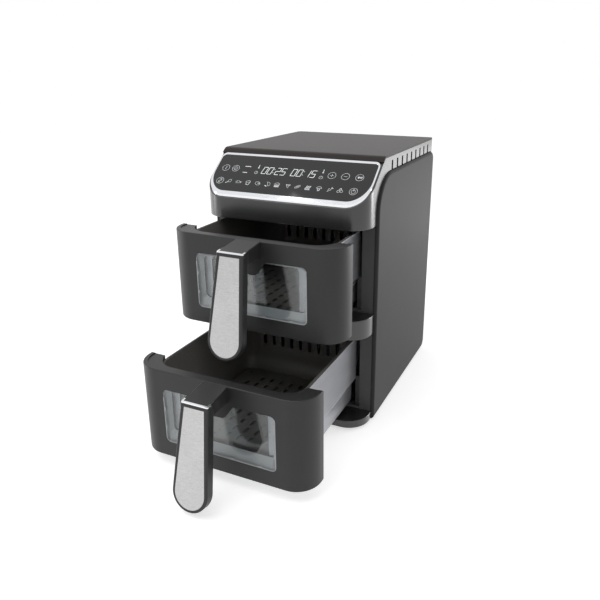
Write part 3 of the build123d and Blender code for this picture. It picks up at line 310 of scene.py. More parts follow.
# %% Chrome plate
# A bright line that picks up the white room; a slight haze keeps it from looking like a mirror tile.
chrome, tree, shader, where = start_finish("chrome_plate_polished", {"Metallic": 1.0, "Roughness": 0.08})
haze = add(tree, "ShaderNodeTexNoise", {"Scale": grain(12), "Detail": 3.0}, {"Vector": where})
tone = add(tree, "ShaderNodeMix", {"data_type": "RGBA", 6: srgb("#dcdee2"), 7: srgb("#e8e9ec")},
           {0: haze.outputs[0]})
tree.links.new(tone.outputs[2], shader.inputs["Base Color"])
gloss = add(tree, "ShaderNodeMapRange", {"To Min": 0.05, "To Max": 0.13}, {"Value": haze.outputs[0]})
tree.links.new(gloss.outputs[0], shader.inputs["Roughness"])
print(chrome.name, len(tree.nodes), "nodes")

# %% Brushed stainless inlay
# Streaks across the grip that glitter a little as the light moves.
brushed, tree, shader, where = start_finish(
    "stainless_brushed", {"Metallic": 1.0, "Roughness": 0.42, "Anisotropic": 0.5})
stretch = add(tree, "ShaderNodeMapping", {"Scale": (0.12, 1.0, 1.0)}, {"Vector": where})
lines = add(tree, "ShaderNodeTexNoise", {"Scale": grain(0.8), "Detail": 4.0}, {"Vector": stretch.outputs[0]})
fleck = add(tree, "ShaderNodeTexNoise", {"Scale": grain(1.6), "Detail": 3.0}, {"Vector": where})
mottle = add(tree, "ShaderNodeMix", {"data_type": "FLOAT", 0: 0.45},
             {2: lines.outputs[0], 3: fleck.outputs[0]})
tone = add(tree, "ShaderNodeMix", {"data_type": "RGBA", 6: srgb("#98979a"), 7: srgb("#dcdbdb")},
           {0: mottle.outputs[0]})
tree.links.new(tone.outputs[2], shader.inputs["Base Color"])
gloss = add(tree, "ShaderNodeMapRange", {"To Min": 0.34, "To Max": 0.52}, {"Value": mottle.outputs[0]})
tree.links.new(gloss.outputs[0], shader.inputs["Roughness"])
relief = add(tree, "ShaderNodeBump", {"Strength": 0.15, "Distance": 0.0001}, {"Height": lines.outputs[0]})
tree.links.new(relief.outputs[0], shader.inputs["Normal"])
print(brushed.name, len(tree.nodes), "nodes")

# %% [markdown]
# ## Glass and clear plastic
# The control panel is glass printed black on its back. Each drawer has a clear outer lens in a pale
# grey plastic frame, and a second pane in the basket behind it.

# %% Black control glass
# Deep black with a clear mirror image, dulled in patches as after wiping.
black_glass, tree, shader, where = start_finish("control_glass_black", {"IOR": 1.52, "Roughness": 0.04})
dust = add(tree, "ShaderNodeTexNoise", {"Scale": grain(40), "Detail": 2.0}, {"Vector": where})
tone = add(tree, "ShaderNodeMix", {"data_type": "RGBA", 6: srgb("#0c0d0f"), 7: srgb("#131416")},
           {0: dust.outputs[0]})
tree.links.new(tone.outputs[2], shader.inputs["Base Color"])
gloss = add(tree, "ShaderNodeMapRange", {"To Min": 0.03, "To Max": 0.08}, {"Value": dust.outputs[0]})
tree.links.new(gloss.outputs[0], shader.inputs["Roughness"])
print(black_glass.name, len(tree.nodes), "nodes")

# %% Clear window
# Almost invisible, with a faint cool tint where it is seen edge on.
clear, tree, shader, where = start_finish(
    "borosilicate_clear", {"IOR": 1.47, "Transmission Weight": 1.0, "Roughness": 0.02})
film = add(tree, "ShaderNodeTexNoise", {"Scale": grain(35), "Detail": 2.0}, {"Vector": where})
tone = add(tree, "ShaderNodeMix", {"data_type": "RGBA", 6: srgb("#eef3f4"), 7: srgb("#fafcfc")},
           {0: film.outputs[0]})
tree.links.new(tone.outputs[2], shader.inputs["Base Color"])
print(clear.name, len(tree.nodes), "nodes")

# %% Pale window frame
# A light border inside the black front, with the soft gleam of smooth plastic.
pale_frame, tree, shader, where = start_finish("polycarbonate_pale_grey", {"IOR": 1.58, "Roughness": 0.25})
cloud = add(tree, "ShaderNodeTexNoise", {"Scale": grain(20), "Detail": 2.0}, {"Vector": where})
tone = add(tree, "ShaderNodeMix", {"data_type": "RGBA", 6: srgb("#9fa2a5"), 7: srgb("#b3b6b8")},
           {0: cloud.outputs[0]})
tree.links.new(tone.outputs[2], shader.inputs["Base Color"])
print(pale_frame.name, len(tree.nodes), "nodes")

# %% [markdown]
# ## Sheet metal and coatings
# The baskets are aluminised steel, plain and silvery outside. Inside they and the trays carry a
# charcoal non-stick coating, sprayed on and baked, with a slight orange-peel texture and tiny pale
# specks. The chambers are galvanised sheet, whose zinc freezes into angular spangles, and the runners
# beside the baskets are steel with a black baked coating, whose dark grey also serves as painted
# shade in the space beside each basket.

# %% Non-stick coating
# Charcoal with fine specks that stop the inside from looking like a hole.
non_stick, tree, shader, where = start_finish("ptfe_non_stick_charcoal", {"IOR": 1.38, "Roughness": 0.4})
peel = add(tree, "ShaderNodeTexNoise", {"Scale": grain(3), "Detail": 2.0}, {"Vector": where})
speck = add(tree, "ShaderNodeTexVoronoi", {"Scale": grain(4)}, {"Vector": where})
dots = add(tree, "ShaderNodeMapRange", {"From Min": 0.16, "From Max": 0.08}, {"Value": speck.outputs[0]})
tone = add(tree, "ShaderNodeMix", {"data_type": "RGBA", 6: srgb("#5c5a57"), 7: srgb("#787672")},
           {0: dots.outputs[0]})
tree.links.new(tone.outputs[2], shader.inputs["Base Color"])
relief = add(tree, "ShaderNodeBump", {"Strength": 0.2, "Distance": 0.0003}, {"Height": peel.outputs[0]})
tree.links.new(relief.outputs[0], shader.inputs["Normal"])
print(non_stick.name, len(tree.nodes), "nodes")

# %% Aluminised steel
# Long rolling streaks that make the walls look silvery and soft.
aluminised, tree, shader, where = start_finish("aluminised_steel_satin", {"Metallic": 1.0, "Roughness": 0.35})
roll = add(tree, "ShaderNodeMapping", {"Scale": (1.0, 0.05, 1.0)}, {"Vector": where})
streak = add(tree, "ShaderNodeTexNoise", {"Scale": grain(2), "Detail": 3.0}, {"Vector": roll.outputs[0]})
tone = add(tree, "ShaderNodeMix", {"data_type": "RGBA", 6: srgb("#a0a1a5"), 7: srgb("#b4b5b9")},
           {0: streak.outputs[0]})
tree.links.new(tone.outputs[2], shader.inputs["Base Color"])
gloss = add(tree, "ShaderNodeMapRange", {"To Min": 0.4, "To Max": 0.55}, {"Value": streak.outputs[0]})
tree.links.new(gloss.outputs[0], shader.inputs["Roughness"])
print(aluminised.name, len(tree.nodes), "nodes")

# %% Galvanised sheet
# Angular patches that catch the light one by one.
galvanised, tree, shader, where = start_finish("galvanised_sheet", {"Metallic": 1.0, "Roughness": 0.4})
spangle = add(tree, "ShaderNodeTexVoronoi", {"Scale": grain(9)}, {"Vector": where})
tone = add(tree, "ShaderNodeMix", {"data_type": "RGBA", 6: srgb("#8b8e91"), 7: srgb("#a9acaf")},
           {0: spangle.outputs[1]})
tree.links.new(tone.outputs[2], shader.inputs["Base Color"])
gloss = add(tree, "ShaderNodeMapRange", {"To Min": 0.3, "To Max": 0.55}, {"Value": spangle.outputs[1]})
tree.links.new(gloss.outputs[0], shader.inputs["Roughness"])
print(galvanised.name, len(tree.nodes), "nodes")

# %% Black coated steel of the runners, dark also as painted shade
# Dark and dull with a faint orange peel. The dark grey is partly the black coating and partly painted shade,
# so the space beside a basket looks shaded.
coated, tree, shader, where = start_finish("steel_black_coat_and_painted_shade", {"IOR": 1.5, "Roughness": 0.5})
peel = add(tree, "ShaderNodeTexNoise", {"Scale": grain(2), "Detail": 2.0}, {"Vector": where})
# painted shade: this dark grey of the runners stands in for the shade beside the baskets
tone = add(tree, "ShaderNodeMix", {"data_type": "RGBA", 6: srgb("#3c3c3c"), 7: srgb("#484848")},
           {0: peel.outputs[0]})
tree.links.new(tone.outputs[2], shader.inputs["Base Color"])
print(coated.name, len(tree.nodes), "nodes")

# %% Zinc-plated steel of motors, shafts and screws
# A dull silver under a thin haze.
zinc, tree, shader, where = start_finish("zinc_plated_steel", {"Metallic": 1.0, "Roughness": 0.35})
haze = add(tree, "ShaderNodeTexNoise", {"Scale": grain(6), "Detail": 3.0}, {"Vector": where})
tone = add(tree, "ShaderNodeMix", {"data_type": "RGBA", 6: srgb("#9b9c9c"), 7: srgb("#b8b8b5")},
           {0: haze.outputs[0]})
tree.links.new(tone.outputs[2], shader.inputs["Base Color"])
print(zinc.name, len(tree.nodes), "nodes")

# %% Stamped aluminium of the fans
# A bright plain silver, a little clouded by the press.
fan_metal, tree, shader, where = start_finish("aluminium_stamped", {"Metallic": 1.0, "Roughness": 0.38})
streak = add(tree, "ShaderNodeTexNoise", {"Scale": grain(5), "Detail": 4.0}, {"Vector": where})
tone = add(tree, "ShaderNodeMix", {"data_type": "RGBA", 6: srgb("#b5b6b8"), 7: srgb("#cfd0d1")},
           {0: streak.outputs[0]})
tree.links.new(tone.outputs[2], shader.inputs["Base Color"])
print(fan_metal.name, len(tree.nodes), "nodes")

# %% Heat-darkened heater sheath
# Brown-grey clouds from the heat.
sheath, tree, shader, where = start_finish("heater_sheath_oxidised", {"Metallic": 1.0, "Roughness": 0.5})
bloom = add(tree, "ShaderNodeTexNoise", {"Scale": grain(18), "Detail": 4.0}, {"Vector": where})
tone = add(tree, "ShaderNodeMix", {"data_type": "RGBA", 6: srgb("#4a4541"), 7: srgb("#6a625b")},
           {0: bloom.outputs[0]})
tree.links.new(tone.outputs[2], shader.inputs["Base Color"])
print(sheath.name, len(tree.nodes), "nodes")

# %% [markdown]
# ## Small materials
# Feet and gland are rubber, the tray bumpers are silicone, the magnets are sintered ferrite, and the
# circuit boards have green solder mask over square-cornered copper areas.

# %% Rubber, silicone and ferrite
# All three are dull: rubber with a pale bloom, silicone smoother, ferrite like fine powder, whose
# grains are drawn at 0.8 mm.
rubber, tree, shader, where = start_finish("nitrile_rubber_black", {"IOR": 1.5, "Roughness": 0.75})
bloom = add(tree, "ShaderNodeTexNoise", {"Scale": grain(4), "Detail": 3.0}, {"Vector": where})
tone = add(tree, "ShaderNodeMix", {"data_type": "RGBA", 6: srgb("#1d1d1d"), 7: srgb("#2a2a2a")},
           {0: bloom.outputs[0]})
tree.links.new(tone.outputs[2], shader.inputs["Base Color"])

silicone, tree, shader, where = start_finish("silicone_dark_grey", {"IOR": 1.41, "Roughness": 0.5})
bloom = add(tree, "ShaderNodeTexNoise", {"Scale": grain(3), "Detail": 2.0}, {"Vector": where})
tone = add(tree, "ShaderNodeMix", {"data_type": "RGBA", 6: srgb("#333333"), 7: srgb("#3d3d3d")},
           {0: bloom.outputs[0]})
tree.links.new(tone.outputs[2], shader.inputs["Base Color"])

ferrite, tree, shader, where = start_finish("ferrite_sintered", {"IOR": 1.9, "Roughness": 0.7})
powder = add(tree, "ShaderNodeTexNoise", {"Scale": grain(0.8), "Detail": 2.0}, {"Vector": where})
tone = add(tree, "ShaderNodeMix", {"data_type": "RGBA", 6: srgb("#38393b"), 7: srgb("#484a4c")},
           {0: powder.outputs[0]})
tree.links.new(tone.outputs[2], shader.inputs["Base Color"])
print(rubber.name, silicone.name, ferrite.name)

# %% Circuit board
# Squares of lighter green where copper lies under the mask.
board_green, tree, shader, where = start_finish("solder_mask_green", {"IOR": 1.5, "Roughness": 0.35})
copper = add(tree, "ShaderNodeTexVoronoi", {"distance": "CHEBYCHEV", "Scale": grain(7)}, {"Vector": where})
tone = add(tree, "ShaderNodeMix", {"data_type": "RGBA", 6: srgb("#1d4a2c"), 7: srgb("#2f6b42")},
           {0: copper.outputs[0]})
tree.links.new(tone.outputs[2], shader.inputs["Base Color"])
print(board_green.name, len(tree.nodes), "nodes")

# %% Screen-printed inks
# Crisp and a little uneven where the screen pressed: white for the lit figures, grey for the rest.
white_ink, tree, shader, where = start_finish(
    "screen_ink_white",
    {"IOR": 1.5, "Roughness": 0.5, "Emission Color": srgb("#f2f4f6"), "Emission Strength": 0.35})
press = add(tree, "ShaderNodeTexNoise", {"Scale": grain(2), "Detail": 2.0}, {"Vector": where})
tone = add(tree, "ShaderNodeMix", {"data_type": "RGBA", 6: srgb("#e2e4e6"), 7: srgb("#f4f5f6")},
           {0: press.outputs[0]})
tree.links.new(tone.outputs[2], shader.inputs["Base Color"])

grey_ink, tree, shader, where = start_finish("screen_ink_grey", {"IOR": 1.5, "Roughness": 0.5})
press = add(tree, "ShaderNodeTexNoise", {"Scale": grain(2), "Detail": 2.0}, {"Vector": where})
tone = add(tree, "ShaderNodeMix", {"data_type": "RGBA", 6: srgb("#dcdee0"), 7: srgb("#eceef0")},
           {0: press.outputs[0]})
tree.links.new(tone.outputs[2], shader.inputs["Base Color"])
print(white_ink.name, grey_ink.name)

# %% [markdown]
# ## Dressing the solids
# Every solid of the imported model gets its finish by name. Pieces of the two drawers share a table,
# because both drawers are made alike.

# %% Give each node its finish
case_finish = {
    "base_pan": gloss_abs, "base_feet": rubber, "side_panel_left": side_grain, "side_panel_right": side_grain,
    "head_shell": gloss_abs, "top_cover": silky_top, "control_bezel": chrome, "control_glass": black_glass,
    "display_board": board_green, "mid_rail": gloss_abs, "front_frame": matt_pp, "rear_cover": matt_pp,
    "cord_gland": rubber, "case_screws": zinc, "power_board": board_green, "drawer_sensors": matt_pp,
}
drawer_finish = {
    "liner": galvanised, "runners": coated, "heater_guard": galvanised, "heater": sheath, "motor": zinc,
    "fan_shaft": zinc, "hot_fan": fan_metal, "cooling_fan": fan_metal, "front_panel": satin_abs,
    "panel_back": matt_pp, "window_lens": clear, "window_frame": pale_frame, "basket": non_stick,
    "basket_pane": clear, "pane_retainer": galvanised, "handle": satin_abs, "handle_inlay": brushed,
    "handle_trim": chrome, "screws": zinc, "magnet": ferrite, "crisper_tray": non_stick,
    "tray_bumpers": silicone,
}
DRAWERS = ("upper", "lower")
finishes = dict(case_finish)
for drawer in DRAWERS:
    for piece, material in drawer_finish.items():
        finishes[f"{drawer}_{piece}"] = material
for name, piece in nodes.items():
    piece.data.materials.clear()
    piece.data.materials.append(finishes[name])
print("dressed", len(finishes), "of", len(nodes))

# %% [markdown]
# ## Two-tone baskets
# A basket is coated inside and plain outside, so one solid needs two finishes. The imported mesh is
# loose triangles, so a copy of it is joined at its corners first. Then each face is asked which way
# it looks: faces that look away from the middle of the basket, or down, are plain steel.

# %% Make the baskets
JOIN_WITHIN = 0.00001                          # corners closer than this become one
SMOOTH_ANGLE = math.radians(30)                # sharper edges stay sharp
UPRIGHT_LIMIT = 0.7                            # a wall's normal rises less than this
DOWNWARD_LIMIT = -0.3                          # an underside's normal falls more than this


def basket_copy(drawer):
    """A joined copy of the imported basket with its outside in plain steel."""
    source = nodes[f"{drawer}_basket"]
    low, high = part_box(f"{drawer}_basket")
    middle = (low + high) / 2
    basket = bpy.data.objects.new(f"{drawer}_basket_coated", source.data.copy())
    bpy.context.collection.objects.link(basket)
    bpy.ops.object.select_all(action="DESELECT")
    bpy.context.view_layer.objects.active = basket
    basket.select_set(True)
    bpy.ops.object.mode_set(mode="EDIT")
    bpy.ops.mesh.select_all(action="SELECT")
    bpy.ops.mesh.remove_doubles(threshold=JOIN_WITHIN)
    bpy.ops.mesh.normals_make_consistent(inside=False)
    bpy.ops.object.mode_set(mode="OBJECT")
    bpy.ops.object.shade_smooth_by_angle(angle=SMOOTH_ANGLE)
    basket.data.materials.clear()
    basket.data.materials.append(non_stick)
    basket.data.materials.append(aluminised)
    for face in basket.data.polygons:
        outward = face.center - middle
        outward.z = 0
        sideways = face.normal.dot(outward) > 0 and abs(face.normal.z) < UPRIGHT_LIMIT
        face.material_index = 1 if sideways or face.normal.z < DOWNWARD_LIMIT else 0
    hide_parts(f"{drawer}_basket")
    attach(basket, f"{drawer}_drawer")
    return basket


for drawer in DRAWERS:
    basket = basket_copy(drawer)
    plain = sum(face.material_index for face in basket.data.polygons)
    print(basket.name, "faces", len(basket.data.polygons), "plain steel", plain)

# %% [markdown]
# ## Window edges
# The lens has a frosted edge that shows as a pale line round the bottom and the sides of each window,
# with a few small lugs that hold it. The edge starts as a plane with rounded corners, which is inset
# and emptied, cut off at the top and given thickness. One lug is modelled and copied along it. All
# of this lies in the half millimetre between the lens and the face of the drawer.

# %% Model one lug
LUG_LENGTH, LUG_DEPTH, LUG_HEIGHT = 0.005, 0.0004, 0.0016
LUG_ROUND = 0.00012
bpy.ops.object.select_all(action="DESELECT")
bpy.ops.mesh.primitive_cube_add(size=1)
lug = bpy.context.object
lug.name = "window_lug"
bpy.ops.object.mode_set(mode="EDIT")
bpy.ops.mesh.select_all(action="SELECT")
bpy.ops.transform.resize(value=(LUG_LENGTH, LUG_DEPTH, LUG_HEIGHT))
bpy.ops.mesh.bevel(offset=LUG_ROUND, segments=2, affect="EDGES")
bpy.ops.object.mode_set(mode="OBJECT")
lug.data.materials.append(pale_frame)
print("lug corners", len(lug.data.vertices))

# %% Make a frosted edge with lugs for each window
LENS_FLANGE = 0.003                            # hidden border of the lens behind the drawer front
EDGE_WIDTH = 0.0016
EDGE_CORNER = 0.006
EDGE_TOP_CUT = 0.012
EDGE_THICK = 0.75 * LUG_DEPTH                  # the lugs stand a little proud of the edge
LUGS_BELOW = (-0.05, 0.02, 0.06)               # places across the bottom of a window
LUGS_BESIDE = (0.3, 0.62)                      # parts of its height, on both sides


def frosted_edge(drawer):
    """The pale edge round the bottom and sides of a window."""
    low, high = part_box(f"{drawer}_window_lens")
    wide, tall = high.x - low.x - 2 * LENS_FLANGE, high.z - low.z - 2 * LENS_FLANGE
    bpy.ops.object.select_all(action="DESELECT")
    bpy.ops.mesh.primitive_plane_add(size=1)
    edge = bpy.context.object
    edge.name = f"{drawer}_window_edge"
    bpy.ops.object.mode_set(mode="EDIT")
    bpy.ops.mesh.select_all(action="SELECT")
    bpy.ops.transform.resize(value=(wide, tall, 1))
    bpy.ops.mesh.bevel(offset=EDGE_CORNER, segments=6, affect="VERTICES")
    bpy.ops.mesh.select_all(action="SELECT")
    bpy.ops.mesh.inset(thickness=EDGE_WIDTH)
    bpy.ops.mesh.delete(type="FACE")
    bpy.ops.mesh.select_all(action="SELECT")
    bpy.ops.mesh.bisect(plane_co=(0, tall / 2 - EDGE_TOP_CUT, 0), plane_no=(0, 1, 0), clear_outer=True)
    bpy.ops.object.mode_set(mode="OBJECT")
    sheet = edge.modifiers.new("edge_thickness", "SOLIDIFY")
    sheet.thickness = EDGE_THICK
    sheet.offset = 1.0
    bpy.ops.object.modifier_apply(modifier=sheet.name)
    edge.rotation_euler = (math.pi / 2, 0, 0)
    edge.location = (0, low.y, (low.z + high.z) / 2)
    bpy.ops.object.transform_apply(location=True, rotation=True, scale=True)
    edge.data.materials.append(pale_frame)
    return edge


def set_lugs(drawer, edge):
    """Copies of the lug on the edge, joined to it."""
    low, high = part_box(f"{drawer}_window_lens")
    face = low.y - LUG_DEPTH / 2
    side = high.x - LENS_FLANGE - EDGE_WIDTH - LUG_HEIGHT / 2
    bottom = low.z + LENS_FLANGE + EDGE_WIDTH + LUG_HEIGHT / 2
    tall = high.z - low.z
    places = [(across, bottom, 0) for across in LUGS_BELOW]
    places += [(end, low.z + part * tall, math.pi / 2) for end in (-side, side) for part in LUGS_BESIDE]
    bpy.ops.object.select_all(action="DESELECT")
    for across, level, turn in places:
        piece = bpy.data.objects.new("lug_copy", lug.data.copy())
        bpy.context.collection.objects.link(piece)
        piece.location = (across, face, level)
        piece.rotation_euler = (0, turn, 0)
        piece.select_set(True)
    edge.select_set(True)
    bpy.context.view_layer.objects.active = edge
    bpy.ops.object.join()
    bpy.ops.object.transform_apply(location=True, rotation=True, scale=True)
    bpy.ops.object.shade_smooth_by_angle(angle=SMOOTH_ANGLE)
    return len(places)


for drawer in DRAWERS:
    edge = frosted_edge(drawer)
    count = set_lugs(drawer, edge)
    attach(edge, f"{drawer}_drawer")
    print(edge.name, "lugs", count)
bpy.data.objects.remove(lug)

# %% [markdown]
# ## Control marks
# The marks on the glass are screen-printed in grey, and the clock figures are lit white. They are
# drawn flat in two meshes, in millimetres across and up the panel, from a few stamps: an oval, a
# wedge, a dome, a dot and a bar. Each outline is a filled shape that is inset and emptied. The
# pictograms are plain ones that any cooker could carry, and the clock figures are built of seven
# bars like those of any digital display.

# %% Stamps
MM = 0.001
LINE = 0.5                                     # width of a printed line, mm
BAR_CORNER = 0.3                               # cut corner of a bar, as a part of its width
ROUND_CORNERS, DOT_CORNERS = 32, 20            # corners of an oval and of a dot


def turn_left(degrees, centre):
    """Turn the selection anticlockwise. With no window open, Blender takes the angle the other way."""
    bpy.ops.transform.rotate(value=-math.radians(degrees), orient_axis="Z", center_override=centre)


def start_stamp(corners, x, y, wide, high, turn):
    """A filled shape of that width and height, turned about its centre, ready for inset or cut."""
    centre = (x * MM, y * MM, 0)
    bpy.ops.mesh.select_all(action="DESELECT")
    bpy.ops.mesh.primitive_circle_add(vertices=corners, radius=MM / 2, fill_type="NGON", location=centre)
    bpy.ops.transform.resize(value=(wide, high, 1), center_override=centre)
    turn_left(turn, centre)


def hollow():
    """Leave only a line round the selected face."""
    bpy.ops.mesh.inset(thickness=LINE * MM)
    bpy.ops.mesh.delete(type="FACE")


def oval(x, y, wide, high, turn=0):
    """Outlined oval."""
    start_stamp(ROUND_CORNERS, x, y, wide, high, turn)
    hollow()


def wedge(x, y, wide, high, turn=0):
    """Outlined triangle, point upwards."""
    start_stamp(3, x, y, wide, high, turn)
    hollow()


def dome(x, y, wide, high, turn=0):
    """Outlined upper half of an oval."""
    start_stamp(ROUND_CORNERS, x, y, wide, high, 0)
    bpy.ops.mesh.bisect(plane_co=(x * MM, y * MM, 0), plane_no=(0, -1, 0), clear_outer=True)
    bpy.ops.mesh.select_linked()
    turn_left(turn, (x * MM, y * MM, 0))
    hollow()


def dot(x, y, wide, high, turn=0):
    """Filled oval."""
    start_stamp(DOT_CORNERS, x, y, wide, high, turn)


def bar(x, y, length, width, turn=0):
    """Filled bar with cut corners."""
    centre = (x * MM, y * MM, 0)
    bpy.ops.mesh.select_all(action="DESELECT")
    bpy.ops.mesh.primitive_plane_add(size=MM, location=centre)
    bpy.ops.transform.resize(value=(length, width, 1), center_override=centre)
    turn_left(turn, centre)
    bpy.ops.mesh.bevel(offset=width * BAR_CORNER * MM, segments=2, affect="VERTICES")


STAMPS = {"oval": oval, "wedge": wedge, "dome": dome, "dot": dot, "bar": bar}


def stamp_sign(stamps, x, y):
    """Stamp a sign about a place on the panel."""
    for kind, across, up, wide, high, turn in stamps:
        STAMPS[kind](x + across, y + up, wide, high, turn)


print("stamps", list(STAMPS))

# %% Seven-bar figures
BARS_LIT = {"0": "tfbmel", "1": "bl", "2": "tbgem", "5": "tfglm"}
SLANT = 10                                     # degrees, the figures lean to the right
FIGURE_LINE = 0.8                              # width of a bar, mm
FIGURE_GAP = 0.1                               # each bar stops short of the next
FIGURE_SPACE = 2.6                             # between two figures
COLON_DOT, COLON_LEAN, COLON_SPACE = 1.3, 0.5, 3.5


def figure(name, x, y, wide, high):
    """A leaning figure of up to seven bars: t top, g middle, m bottom, f b upper and e l lower sides."""
    bars = {
        "t": (0, high / 2, 0), "g": (0, 0, 0), "m": (0, -high / 2, 0),
        "f": (-wide / 2, high / 4, 1), "b": (wide / 2, high / 4, 1),
        "e": (-wide / 2, -high / 4, 1), "l": (wide / 2, -high / 4, 1),
    }
    for letter in BARS_LIT[name]:
        across, level, standing = bars[letter]
        across += level * math.tan(math.radians(SLANT))
        length = (high / 2 if standing else wide) - FIGURE_GAP
        bar(x + across, y + level, length, FIGURE_LINE, 90 - SLANT if standing else 0)


def clock_figures(text, left, y, wide, high):
    """Figures and a colon in a row."""
    x = left
    for letter in text:
        if letter == ":":
            dot(x + COLON_LEAN, y + high / 4, COLON_DOT, COLON_DOT)
            dot(x - COLON_LEAN, y - high / 4, COLON_DOT, COLON_DOT)
            x += COLON_SPACE
        else:
            figure(letter, x + wide / 2, y, wide, high)
            x += wide + FIGURE_SPACE


print("figures", list(BARS_LIT))

# %% [markdown]
# Twelve food pictograms stand in the lower row. Each is a short list of stamps about its own
# centre: drumstick, fish, cup cake, steak, shrimp, burger, pizza slice, sausage, chips, mushroom,
# carrot and cherries.

# %% Pictograms
pictograms = (
    (("oval", 1.0, 0.8, 6.4, 4.8, 40), ("bar", -2.7, -2.3, 3.4, 1.0, 40), ("dot", -4.0, -3.3, 1.8, 1.8, 0)),
    (("oval", -0.8, 0.0, 7.0, 4.8, 0), ("wedge", 3.6, 0.0, 4.0, 4.0, 90), ("dot", -2.6, 0.5, 1.0, 1.0, 0)),
    (("dome", 0.0, 0.4, 8.0, 7.0, 0), ("bar", -2.3, -2.0, 4.0, 1.0, 110), ("bar", 2.3, -2.0, 4.0, 1.0, 70),
     ("bar", 0.0, -3.9, 4.0, 1.0, 0)),
    (("oval", 0.0, 0.0, 8.8, 6.2, -15), ("oval", 1.6, 0.2, 3.0, 2.6, 0)),
    (("dome", 0.0, 0.0, 8.4, 8.4, -60), ("bar", -2.4, -2.6, 3.4, 1.0, 20),
     ("bar", -1.8, -3.6, 3.4, 1.0, -20)),
    (("dome", 0.0, 0.8, 8.6, 7.0, 0), ("bar", 0.0, -0.9, 8.6, 1.0, 0), ("bar", 0.0, -2.9, 7.6, 1.7, 0)),
    (("wedge", 0.0, 0.6, 9.0, 8.6, 180), ("dot", -1.1, 1.4, 1.3, 1.3, 0), ("dot", 1.3, 0.9, 1.3, 1.3, 0)),
    (("oval", 0.0, 0.0, 9.2, 4.0, 35), ("bar", 0.0, 0.0, 4.2, 0.8, 35)),
    (("bar", -2.6, 0.4, 6.4, 1.3, 70), ("bar", 0.0, 0.4, 6.4, 1.3, 70), ("bar", 2.6, 0.4, 6.4, 1.3, 70),
     ("bar", 0.0, -3.5, 8.0, 1.0, 0)),
    (("dome", 0.0, 0.2, 8.6, 7.6, 0), ("bar", -1.3, -1.9, 4.0, 1.0, 90), ("bar", 1.3, -1.9, 4.0, 1.0, 90),
     ("bar", 0.0, -3.7, 3.4, 1.0, 0)),
    (("wedge", -0.6, -0.8, 5.4, 8.4, 145), ("bar", 2.6, 3.0, 3.0, 0.9, 80), ("bar", 3.6, 2.0, 3.0, 0.9, 20)),
    (("oval", -2.1, -1.9, 4.4, 4.4, 0), ("oval", 2.3, -1.5, 4.4, 4.4, 0), ("bar", -1.0, 1.8, 4.2, 0.9, 65),
     ("bar", 1.4, 2.0, 4.2, 0.9, 105)),
)
PICTOGRAM_PLACES = (-93.1, -77.2, -61.2, -45.2, -29.1, -14.0, 3.5, 18.6, 34.7, 51.3, 67.4, 82.9)
UPPER_ROW, LOWER_ROW = 54.5, 29.5
KEY = 12.0                                     # diameter of a ringed key


def start_print(name):
    """A new empty mesh, open for stamping."""
    bpy.ops.object.select_all(action="DESELECT")
    bpy.ops.mesh.primitive_plane_add(size=MM)
    sheet = bpy.context.object
    sheet.name = name
    bpy.ops.object.mode_set(mode="EDIT")
    bpy.ops.mesh.select_all(action="SELECT")
    bpy.ops.mesh.delete(type="VERT")
    return sheet


marks = start_print("control_marks")
for across, stamps in zip(PICTOGRAM_PLACES, pictograms):
    stamp_sign(stamps, across, LOWER_ROW)
print("pictograms", len(pictograms))

# %% [markdown]
# Seven keys are ringed: the two drawers, both together, more, less, start and power. The signs on
# them are stamps about the centre of the key. Between them stand small signs for heat and time.

# %% Keys and small signs
KEYS = {
    "upper": (-109.5, UPPER_ROW), "both": (-92.5, UPPER_ROW), "lower": (-108.5, LOWER_ROW),
    "more": (62.5, UPPER_ROW), "less": (82.8, UPPER_ROW), "start": (103.7, UPPER_ROW),
    "power": (102.2, LOWER_ROW),
}
key_signs = {
    "both": (("oval", 0.0, 0.0, 6.4, 6.4, 0), ("bar", 0.0, 0.0, 4.0, LINE, 45)),
    "more": (("bar", 0.0, 0.0, 5.5, LINE, 0), ("bar", 0.0, 0.0, 5.5, LINE, 90)),
    "less": (("bar", 0.0, 0.0, 5.5, LINE, 0),),
    "start": (("dot", -1.4, 0.0, 3.0, 3.6, 0), ("bar", 1.3, 0.0, 3.6, 1.1, 90),
              ("bar", 3.1, 0.0, 3.6, 1.1, 90)),
    "power": (("oval", 0.0, -0.4, 6.6, 6.6, 0), ("bar", 0.0, 2.4, 3.6, 1.1, 90)),
}
heat_and_time = (
    ("bar", 0.0, 7.4, 4.6, 1.1, 90), ("dot", 0.0, 4.2, 2.6, 2.6, 0),
    ("oval", -0.6, -5.0, 5.6, 5.6, 0), ("bar", -0.6, -4.3, 1.8, 0.7, 90),
)
HEAT_AND_TIME_PLACES = (-55.5, 47.8)
plain_bars = (("bar", -73.5, 5.2, 10.0, 1.4, 0), ("bar", -74.5, -6.5, 7.5, 1.4, 0))
for x, y in KEYS.values():
    oval(x, y, KEY, KEY)
figure("1", KEYS["upper"][0] - 1.5, UPPER_ROW, 3.4, 6.4)
figure("2", KEYS["lower"][0], LOWER_ROW, 3.4, 6.0)
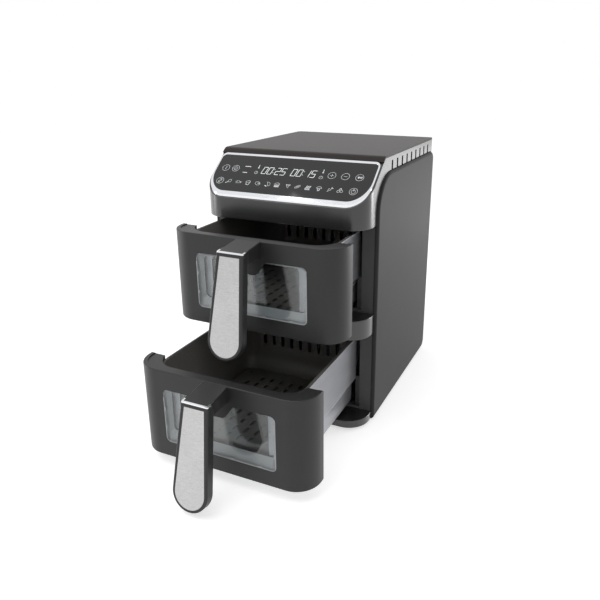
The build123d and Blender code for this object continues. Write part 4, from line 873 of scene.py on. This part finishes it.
for key, stamps in key_signs.items():
    stamp_sign(stamps, *KEYS[key])
for x in HEAT_AND_TIME_PLACES:
    stamp_sign(heat_and_time, x, UPPER_ROW)
stamp_sign(plain_bars, 0, UPPER_ROW)
bpy.ops.object.mode_set(mode="OBJECT")
print("flat marks, corners", len(marks.data.vertices))

# %% Lit clock figures
CLOCK_WIDE, CLOCK_HIGH = 6.4, 12.5             # size of one figure
CLOCKS = (("00:25", -46.7), ("00:15", 0.6))    # text and left end
lit_figures = start_print("control_figures")
for text, left in CLOCKS:
    clock_figures(text, left, UPPER_ROW, CLOCK_WIDE, CLOCK_HIGH)
bpy.ops.object.mode_set(mode="OBJECT")
print("flat figures, corners", len(lit_figures.data.vertices))

# %% [markdown]
# The flat marks get the thickness of a layer of ink, drawn at 0.05 mm, and are then turned to the
# slope of the glass and moved onto it.

# %% Lay the marks on the glass
SLOPE_RISE, SLOPE_RUN = 59, 73                 # slope of the control panel
slope = math.atan2(SLOPE_RISE, SLOPE_RUN)
GLASS_SHEET = 0.002
INK_LAYER = 0.05 * MM
FRONT_EDGE_UP = 10.8 * MM                      # the front edge of the glass, in the measure of the rows


def lay_on_glass(sheet, ink):
    """Thicken a flat print and turn it onto the slope of the glass."""
    bpy.ops.object.select_all(action="DESELECT")
    bpy.context.view_layer.objects.active = sheet
    sheet.select_set(True)
    layer = sheet.modifiers.new("ink_layer", "SOLIDIFY")
    layer.thickness = INK_LAYER
    layer.offset = 1.0
    bpy.ops.object.modifier_apply(modifier=layer.name)
    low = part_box("control_glass")[0]
    sheet.location = (0, low.y - FRONT_EDGE_UP * math.cos(slope),
                      low.z + GLASS_SHEET / math.cos(slope) - FRONT_EDGE_UP * math.sin(slope))
    sheet.rotation_euler = (slope, 0, 0)
    bpy.ops.object.transform_apply(location=True, rotation=True, scale=True)
    sheet.data.materials.append(ink)
    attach(sheet, "housing")


lay_on_glass(marks, grey_ink)
lay_on_glass(lit_figures, white_ink)
print("marks reach", [round(1000 * c, 1) for c in (*marks.bound_box[0], *marks.bound_box[6])])
